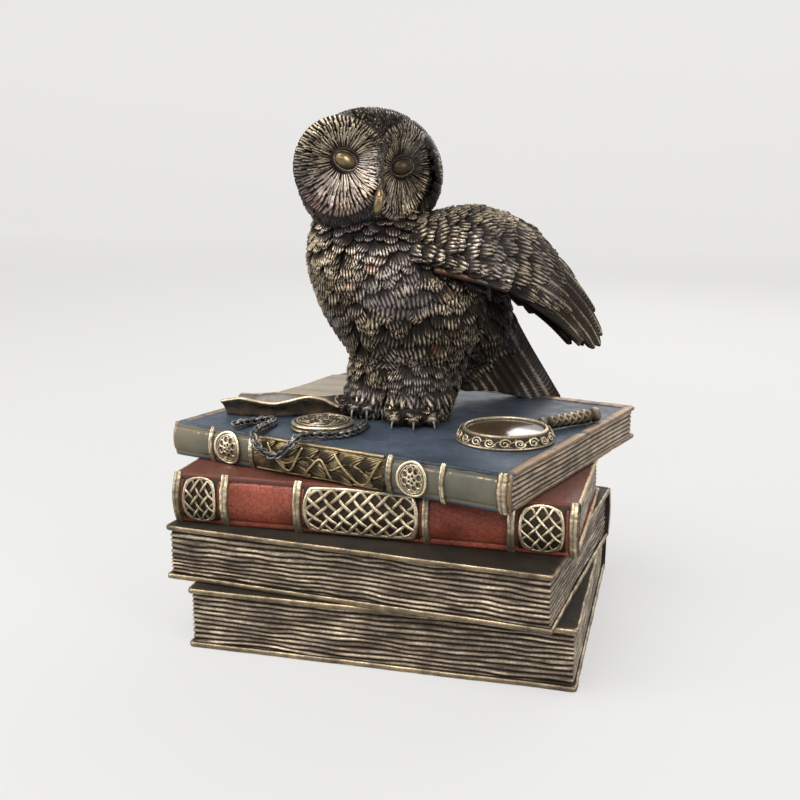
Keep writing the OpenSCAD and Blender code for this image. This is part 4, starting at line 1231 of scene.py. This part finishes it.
def blue_spine():
    ribs, bosses = Shape(), Shape()
    for k, (u0, u1, raised) in enumerate(((-45, -42.6, 0.6), (-29, -26.6, 0.75), (20.6, 23, 0.75),
                                          (37.9, 40.1, 0.75), (55.3, 59.4, 0.6))):
        rib(ribs, blue_book, u0, u1, raised, k + 9)
    ribs.build("blue_ribs_cast", blue_book.place, relief, "lid", "spine_relief", ("blue_spine_ribs",))
    for u in (-36.9, 29.6):
        medallion(bosses, blue_book, u)
    bosses.build("blue_bosses_cast", blue_book.place, relief, "lid", "spine_relief",
                 ("blue_spine_medallions",))
    leaf_panel()


def covers():
    """The four books' covers: two boards and a rounded back each."""
    flat_top = ((0.9, 0.05, 0.25), (2.2, 0.05, 0.14))
    framed = ((0.9, -0.05, 0.85), (2.3, 0.0, 0.8), (2.8, 0.15, 0.6), (3.2, 0.4, 0.05), (3.8, 0.45, 0.02),
              (6.0, 0.42, 0.0))
    for book, name, body, material, slot, hole, rings in (
            (bottom_book, "bottom_book_cover", "box", boards, "book_bronze", (False, True), flat_top),
            (third_book, "third_book_cover", "box", boards, "book_bronze", (True, True), flat_top),
            (red_book, "red_book_cover", "lid", red_leather, "red_leather", (False, False), flat_top),
            (blue_book, "blue_book_cover", "lid", blue_leather, "blue_leather", (False, False), framed)):
        shape = Shape()
        seed = int(book.w)
        plate(shape, book, 0.02, book.board, 1.0, hole=hole[0], seed=seed, top_rings=((0.9, 0.0, 0.1),))
        # painted shade darkens the red book's top board through its tint
        plate(shape, book, book.h - book.board, book.h - 0.02, 1.6, hole=hole[1], seed=seed + 1,
              top_rings=rings,
              spine_shift=1.6 if book is blue_book else 0.0, age_tint_and_painted_light=0.9 if book is red_book else 0.0)
        plain = body == "box"
        # the blue spine takes the full tint: its real olive cast and a painted highlight along the bulge
        spine_shell(shape, book, seed + 2, age_tint_and_painted_light=1.0 if book is blue_book else 0.0, worn=0.8 if plain else 0.0)
        for u in (-44, -16, 16, 44) if plain else ():
            rib(shape, book, u - 1.3, u + 1.3, 0.6, int(u), 0.7)
        shape.build(name + "_boards", book.place, material, body, slot, (name,))


def pages():
    page_block(bottom_book, "bottom_book_pages_block", 1.5, 0.75, 11, hole=True, rows=128)
    page_block(third_book, "third_book_pages_block", 1.5, 0.75, 23, hole=True, rows=120)
    page_block(red_book, "red_book_pages_block", 1.35, 0.6, 31, sway=0.5, rows=100, n=700)
    page_block(blue_book, "blue_book_pages_block", 1.5, 0.7, 47, sway=0.2, crisp=1.5, rows=80, calm=0.92)


# ---------- the things lying on the blue book ----------
def plain_paint(name, low, high, scale, roughness, metallic, bump, coat=0.0, stretch=None):
    """A material without rubbed ridges: two colours mixed by noise, and a fine surface."""
    p = Paint(name)
    p.bump(p.noise(scale * 3, 5, stretch=stretch), bump)
    p.shader.inputs["Coat Weight"].default_value = coat
    p.shader.inputs["Coat Roughness"].default_value = 0.06
    return p.finish(p.mix(p.span(p.noise(scale, 4, stretch=stretch), 0.3, 0.7), low, high),
                    p.span(p.noise(scale * 1.7), 0.3, 0.7, roughness * 0.85, roughness * 1.15), metallic)


def parchment_paint():
    """Aged paper, bronzed where rubbed; the tint turns it dark brown: painted shade on the curl's underside,
    and darker in front of the fold.
    """
    p = Paint("parchment")
    streaks = p.noise(120, 4, stretch=(0.35, 1.6, 1))
    paper_colour = p.mix(p.span(streaks, 0.3, 0.7), (0.13, 0.105, 0.07), (0.24, 0.2, 0.145))
    # dark brown for the tint: painted shade on the curl's underside, and the darker front of the curl
    dark = p.mix(p.span(p.noise(260, 4), 0.35, 0.65), (0.02, 0.014, 0.01), (0.09, 0.062, 0.04))
    colour = p.mix(p.value("tint"), paper_colour, dark)
    rubbed = p.span(p.maths("MULTIPLY", p.value("tone"), p.span(p.noise(500), 0.2, 0.6, 0.6, 1.2)), 0.4, 0.75)
    p.bump(streaks, 0.0001)
    return p.finish(p.mix(rubbed, colour, (0.5, 0.4, 0.26)), p.span(p.value("tint"), 0, 1, 0.62, 0.36),
                    p.maths("MULTIPLY", rubbed, 0.8))


parchment_look = parchment_paint()
lens_look = plain_paint("lens_glass", (0.035, 0.022, 0.012), (0.06, 0.042, 0.024), 60, 0.16, 0.0, 0.00001,
                        coat=0.25)
felt_look = plain_paint("felt", (0.012, 0.012, 0.012), (0.03, 0.03, 0.03), 1500, 0.95, 0.0, 0.0002)
lining_look = plain_paint("lining", (0.015, 0.013, 0.012), (0.032, 0.028, 0.024), 500, 0.7, 0.0, 0.00008)


def keep_cad():
    """CAD parts whose shape is already right, and their finishes."""
    for name, material in (("felt_base", felt_look), ("compartment_lining", lining_look),
                           ("lid_lip", lining_look)):
        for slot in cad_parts[name].material_slots:
            slot.material = material


def parchment():
    """A loose sheet under the owl, curling up in a wave along its near edge."""
    shape = Shape()
    n, rows = 150, 90
    lip = curve([[-70.0, -3.2, 4.6], [-64, -5.6, 6.0], [-59, -5.9, 5.2], [-53, -6, 4.3], [-48, -6, 5.0],
                 [-42, -6, 6.4], [-37, -5.9, 5.8], [-31.5, -5.6, 3.2], [-28, -4.6, 3.6], [-23, -3.2, 3.0],
                 [-19, -1.6, 1.8]], n)
    far = np.stack([np.linspace(-37.5, 7.5, n), np.linspace(61.4, 53.6, n), 0 * lip[:, 0]], -1)
    far[:, :2] += 0.5 * np.stack([noise(np.arange(n) / 9, 0, 5), noise(np.arange(n) / 7, 3, 6)], -1)
    t = (np.linspace(0, 1, rows) ** 2.0)[:, None]
    flat = lip[None, :, :2] * (1 - t[..., None]) + far[None, :, :2] * t[..., None]
    away = t * 62
    x = lip[None, :, 0]
    fold = 9.0 + 1.2 * np.sin(x / 6)
    z = 0.25 + (lip[None, :, 2] - 0.4) * np.exp(-(away / 3.4) ** 2)
    slack = np.where(away < fold, 3.6, 2.4)
    z = z + (5.0 + 0.5 * np.sin(x / 4.5 + 1)) * np.exp(-((away - fold) / slack) ** 2)
    z = z + 0.15 * noise(flat[..., 0] / 3, flat[..., 1] / 9, 8)
    z = z * (1 - 0.75 * smooth((x + 27) / 8))
    under = np.stack([flat[..., 0], flat[..., 1], z], -1)
    grid = np.concatenate([under[::-1], under + UP])
    # darker in front of the fold; the underside, the ends and the fall below the lip take the full tint,
    # which is painted shade
    dark = smooth((fold + 3.0 - away) / 3.0)
    slope = np.exp(-(away / 0.5) ** 2) + 0.8 * np.exp(-((away - fold) / 0.7) ** 2)
    tone = np.clip(slope + 0.35 * noise(flat[..., 0] / 2, flat[..., 1] * 1.5, 4) * dark, 0, 1)
    lip_low = np.where(away < 0.1, 0.9, 0.0) + 0 * z
    shape.grid(grid, np.concatenate([lip_low[::-1], tone]), np.concatenate([np.ones_like(dark), dark]),
               wrap_u=True)
    for end in (grid[:, :1], grid[:, -1:]):
        shape.grid(np.concatenate([end[:rows][::-1], end[rows:]], 1), 0.9, 1.0)
    # the fall from the lip down to the book, in painted shade through its full tint
    hem = np.linspace(0, 1, 7)[:, None]
    foot = np.stack([lip[:, 0] * 0.985 + 0.2, lip[:, 1] + 2.6, 0 * lip[:, 0] + 0.05], -1)
    fall = under[0] * (1 - hem[..., None]) + foot * hem[..., None]
    fall[..., 1] += 1.2 * np.sin(math.pi * hem)
    shape.grid(np.concatenate([fall, fall[::-1] + [0, 1.2, 0.2]]), 0.16, 1.0, wrap_u=True)
    path = np.stack([lip[:, 0], lip[:, 1] - 0.1, under[0, :, 2] + 0.5], -1)
    shape.tube(path, 0.62 + 0.06 * np.sin(np.arange(n) / 3), 0.95, 1.0, sides=8)
    shape.build("parchment_sheet", OWL, parchment_look, "lid", "parchment", ("parchment",))


def lathe(shape, profile, tones, at=(0, 0), n=96):
    """Turns a profile of [radius, height] about the vertical."""
    profile, a = np.asarray(profile, float), around(n)
    r, z = profile[:, :1], profile[:, 1:] + 0 * a
    p = np.stack([at[0] + r * np.cos(a), at[1] + r * np.sin(a), z], -1)
    shape.grid(p, np.asarray(tones, float)[:, None] + 0 * z, wrap_v=True)


def magnifier():
    """A lens in a scroll-cast rim, with a braided handle."""
    rim = Shape()
    lathe(rim, [[11.9, 0.2], [11.9, 3.5], [12.1, 4.0], [12.45, 4.15], [12.8, 3.9], [13.2, 3.3], [14.3, 2.1],
                [14.7, 1.0], [14.95, 0.7], [15.0, 0.35], [14.8, 0.05], [12.2, 0.05], [11.9, 0.2]],
          [0.1, 0.3, 0.9, 1.0, 0.8, 0.1, 0.08, 0.1, 0.8, 0.9, 0.4, 0, 0], n=160)

    def on_rim(a, v, proud, radius, tone, sides):
        """A strand cast on the rim's sloping side: a round it, v up it."""
        out = np.interp(v, [0.6, 3.7], [14.75, 13.5]) + proud
        rim.tube(np.stack([out * np.cos(a), out * np.sin(a), v], -1), radius, tone,
                 up=np.stack([np.cos(a), np.sin(a), 0.5 + 0 * a], -1), sides=sides)

    for k in range(20):
        middle = (k + 0.5) * TAU / 20
        turn = np.linspace(0, 1.55 * TAU, 30)
        r = np.interp(turn, [0, 1.55 * TAU], [1.55, 0.25])
        flip = 1 if k % 2 else -1
        a = middle + r * np.cos(turn) * 1.15 / 14.2
        v = 2.05 + flip * r * np.sin(turn) * 0.85
        on_rim(a, v, 0.05, np.linspace(0.34, 0.22, 30), 0.95, 8)
    for k in range(40):
        a0 = k * TAU / 40
        v = np.linspace(0.9, 3.3, 8)
        a = a0 + 0.09 * np.sin((v - 0.9) * 2.2) * (1 if k % 2 else -1)
        on_rim(a, v, 0.0, 0.2, 0.7, 6)
    lens = Shape()
    r = np.linspace(12.0, 0.02, 24)
    lathe(lens, np.concatenate([[[12.0, 2.6]], np.stack([r, 3.35 + 0.95 * (1 - (r / 12) ** 2)], -1)]),
          np.zeros(25), n=120)
    lens.build("magnifier_lens_dome", GLASS, lens_look, "lid", "lens", ("magnifier_lens",))
    rim.build("magnifier_rim_cast", GLASS, relic, "lid", "relic_bronze", ("magnifier_rim",))
    handle = Shape()
    d, side = level(50)
    t = np.linspace(13.9, 39.6, 200)[:, None]
    a = around(40)[None, :]
    base = np.interp(t, [13.9, 14.6, 15.2, 16, 17, 18, 34.6, 35.4, 36, 36.8, 38.2, 39.2, 39.6],
                     [1.3, 2.1, 2.2, 1.5, 1.4, 1.75, 2.05, 1.5, 1.7, 2.3, 2.35, 1.4, 0.05])
    braided = smooth((t - 17.6) / 0.8) * smooth((34.8 - t) / 0.8)
    weave = np.maximum(np.cos(4 * a + t * 2.3), np.cos(4 * a - t * 2.3))
    r = base + braided * 0.28 * weave
    p = d * t[..., None] + side * (r * np.cos(a))[..., None] + UP * (2.5 + r * np.sin(a))[..., None]
    tone = (0.35 + 0.5 * smooth((weave - 0.1) / 0.8)) * braided
    tone = tone + (1 - braided) * np.clip((base - 1.3) * 0.9, 0, 1)
    handle.grid(p, tone * (0.55 + 0.3 * np.sin(a)), wrap_v=True)
    handle.build("magnifier_handle_braided", GLASS, relic, "lid", "relic_bronze", ("magnifier_handle",))


WATCH_AT = (-14.5, -30.5)


def watch():
    """A pocket watch with a scroll-cast cover, its crown and bow."""
    case, cover, crown = Shape(), Shape(), Shape()
    lathe(case, [[0.1, 0.05], [9.3, 0.05], [9.9, 0.35], [10.0, 0.8], [9.6, 1.15], [9.35, 1.35], [9.7, 1.6],
                 [9.9, 2.0], [9.6, 2.45], [9.0, 2.6], [8.5, 2.5], [0.1, 2.4]],
          [0, 0.2, 0.7, 1, 0.5, 0.05, 0.6, 1, 0.95, 0.5, 0.1, 0], WATCH_AT)
    case.build("watch_case_turned", BLUE_TOP, relic, "lid", "relic_bronze", ("watch_case",))
    r = np.linspace(8.5, 0.02, 60)[:, None]
    a = around(180)[None, :]
    swirl = np.cos(7 * a + 5 * np.sin(r * 0.9)) * np.cos(r * 2.3 + np.cos(7 * a))
    fade = smooth((8 - r) / 0.8) * smooth((r - 1.2) / 0.8)
    scrolls = smooth((swirl - 0.1) / 0.6) * fade
    border = np.exp(-((r - 8.0) / 0.3) ** 2)
    lift = 0.3 * scrolls + 0.3 * border
    z = 2.55 + 0.75 * (1 - (r / 8.5) ** 2) + lift
    p = np.stack([WATCH_AT[0] + r * np.cos(a), WATCH_AT[1] + r * np.sin(a), z], -1)
    tone = 0.12 + 0.85 * scrolls + 0.8 * border + 0.3 * (r < 1.2)
    cover.grid(p, tone, wrap_v=True)
    cover.build("watch_cover_cast", BLUE_TOP, relic, "lid", "relic_bronze", ("watch_cover",))
    d, side = level(118)
    at = np.array([*WATCH_AT, 1.3])
    t = np.array([9.6, 10.0, 10.3, 10.9, 11.4, 11.6])[:, None]
    crown.tube(at + d * t, np.array([0.8, 1.15, 1.2, 1.2, 1.0, 0.3]), 0.8, sides=20)
    a = around(40)
    ring = at + d * 13.2 + 1.7 * (np.cos(a)[:, None] * d + np.sin(a)[:, None] * side)
    crown.tube(ring, 0.45, 0.9, sides=10, closed=True)
    crown.build("watch_crown_cast", BLUE_TOP, relic, "lid", "relic_bronze", ("watch_crown",))


CHAIN = [[-36.5, -47, 1.75], [-36.4, -43.4, 1.75], [-36, -39, 1.25], [-33.6, -33.5, 1.25],
         [-29.8, -35.5, 1.25], [-27.6, -43, 1.6], [-25.4, -49.2, 2.15], [-24.6, -52.2, 1], [-23.2, -53.2, -1], [-19.5, -53.3, -3.6],
         [-14.6, -53.3, -3.7], [-11.2, -53.2, -1], [-10, -52.2, 1], [-9.2, -49, 2.15], [-6.6, -43.2, 1.65],
         [-2.4, -38, 1.25], [-1.4, -30, 1.25], [-4.2, -20.5, 1.25]]


def chain():
    """The watch's cast chain: flat curb links, each turned across the last."""
    shape = Shape()
    route = curve(CHAIN, 160)
    run = np.concatenate([[0], np.cumsum(np.linalg.norm(np.diff(route, axis=0), axis=1))])
    stops = np.arange(0, run[-1], 1.42)
    at = np.stack([np.interp(stops, run, route[:, k]) for k in range(3)], -1)
    a = around(16)
    for k in range(len(at) - 1):
        d = unit(at[k + 1] - at[k])
        flat = unit(np.cross(d, [0, 0, 1.0]))
        up = np.cross(flat, d)
        tilt = math.radians(42 if k % 2 else -42)
        across = flat * math.cos(tilt) + up * math.sin(tilt)
        middle = (at[k] + at[k + 1]) / 2
        ring = middle + 1.35 * np.cos(a)[:, None] * d + 1.1 * np.sin(a)[:, None] * across
        shape.tube(ring, 0.42, 0.55 + 0.25 * math.sin(k), sides=8, closed=True)
    shape.build("watch_chain_cast", BLUE_TOP, silver, "lid", "relic_bronze", ("watch_chain",))


# ---------- stage ----------
def floor():
    """A wide pale sweep: level under the object and curving up far behind it."""
    bend = np.linspace(0.05, math.pi / 2, 16)
    y = np.concatenate([np.linspace(-1.6, 1.6, 14), 1.6 + 1.0 * np.sin(bend), np.full(6, 2.6)])
    z = np.concatenate([np.zeros(14), 1.0 * (1 - np.cos(bend)), np.linspace(1.1, 4.0, 6)])
    x = np.linspace(-3.5, 3.5, 30)
    p = np.stack(np.broadcast_arrays(x[None, :], y[:, None], z[:, None]), -1)
    rows, cols = p.shape[:2]
    faces = [(i * cols + j, i * cols + j + 1, (i + 1) * cols + j + 1, (i + 1) * cols + j)
             for i in range(rows - 1) for j in range(cols - 1)]
    mesh = bpy.data.meshes.new("studio_floor")
    mesh.from_pydata(p.reshape(-1, 3), [], faces)
    mesh.shade_smooth()
    obj = bpy.data.objects.new("studio_floor", mesh)
    bpy.context.scene.collection.objects.link(obj)
    p = Paint("studio_white")
    p.bump(p.noise(30), 0.0002, 0.2)
    p.shader.inputs["Emission Color"].default_value = (1.0, 0.99, 0.975, 1)
    depth = p.add("ShaderNodeSeparateXYZ")
    p.link(p.where, depth.inputs[0])
    p.link(p.span(depth.outputs["Y"], 0.2, 2.4, 0.545, 0.735), p.shader.inputs["Emission Strength"])
    mesh.materials.append(p.finish(p.mix(p.noise(3), (0.13, 0.13, 0.128), (0.14, 0.14, 0.138)), 0.85, 0.0))


def softbox(name, at, aim, size, power, colour=(1, 1, 1)):
    data = bpy.data.lights.new(name, "AREA")
    data.shape, data.size, data.size_y = "RECTANGLE", size[0], size[1]
    data.energy, data.color = power, colour
    obj = bpy.data.objects.new(name, data)
    obj.location = at
    obj.rotation_euler = (Vector(aim) - Vector(at)).to_track_quat("-Z", "Y").to_euler()
    bpy.context.scene.collection.objects.link(obj)


def studio():
    aim = (0, 0, 0.08)
    softbox("key_overhead", (-0.25, -0.25, 0.85), aim, (0.7, 0.5), 9.0)
    softbox("side_left", (-0.8, -0.35, 0.35), aim, (0.5, 0.6), 5.0)
    softbox("side_right", (0.75, -0.45, 0.45), aim, (0.4, 0.6), 4.5)
    softbox("front_strip", (0.05, -0.95, 0.62), aim, (0.9, 0.14), 3.5)
    softbox("rim_back", (0.2, 0.75, 0.55), aim, (0.8, 0.4), 4.0)
    world = bpy.data.worlds.new("studio_air")
    world.use_nodes = True
    world.node_tree.nodes["Background"].inputs["Color"].default_value = (1, 1, 1, 1)
    world.node_tree.nodes["Background"].inputs["Strength"].default_value = 0.36
    bpy.context.scene.world = world
    bpy.context.scene.view_settings.view_transform = "Standard"


def camera():
    data = bpy.data.cameras.new("camera")
    data.lens, data.sensor_width = 49.4, 36.0
    data.clip_start = 0.01
    obj = bpy.data.objects.new("camera", data)
    obj.location = (0.08207, -0.3338, 0.14419)
    obj.rotation_euler = (math.radians(90 - 12.386), 0, math.radians(14.74))
    bpy.context.scene.collection.objects.link(obj)
    bpy.context.scene.camera = obj


for make in (owl_torso, chest_feathers, flank_feathers, leg_feathers, facial_discs, brow_feathers,
             head_feathers, owl_eyes, owl_beak, owl_raised_wing, owl_folded_wing, owl_tail, owl_feet,
             covers, pages, red_spine, blue_spine, keep_cad, parchment, magnifier, watch, chain, floor,
             studio, camera):
    make()
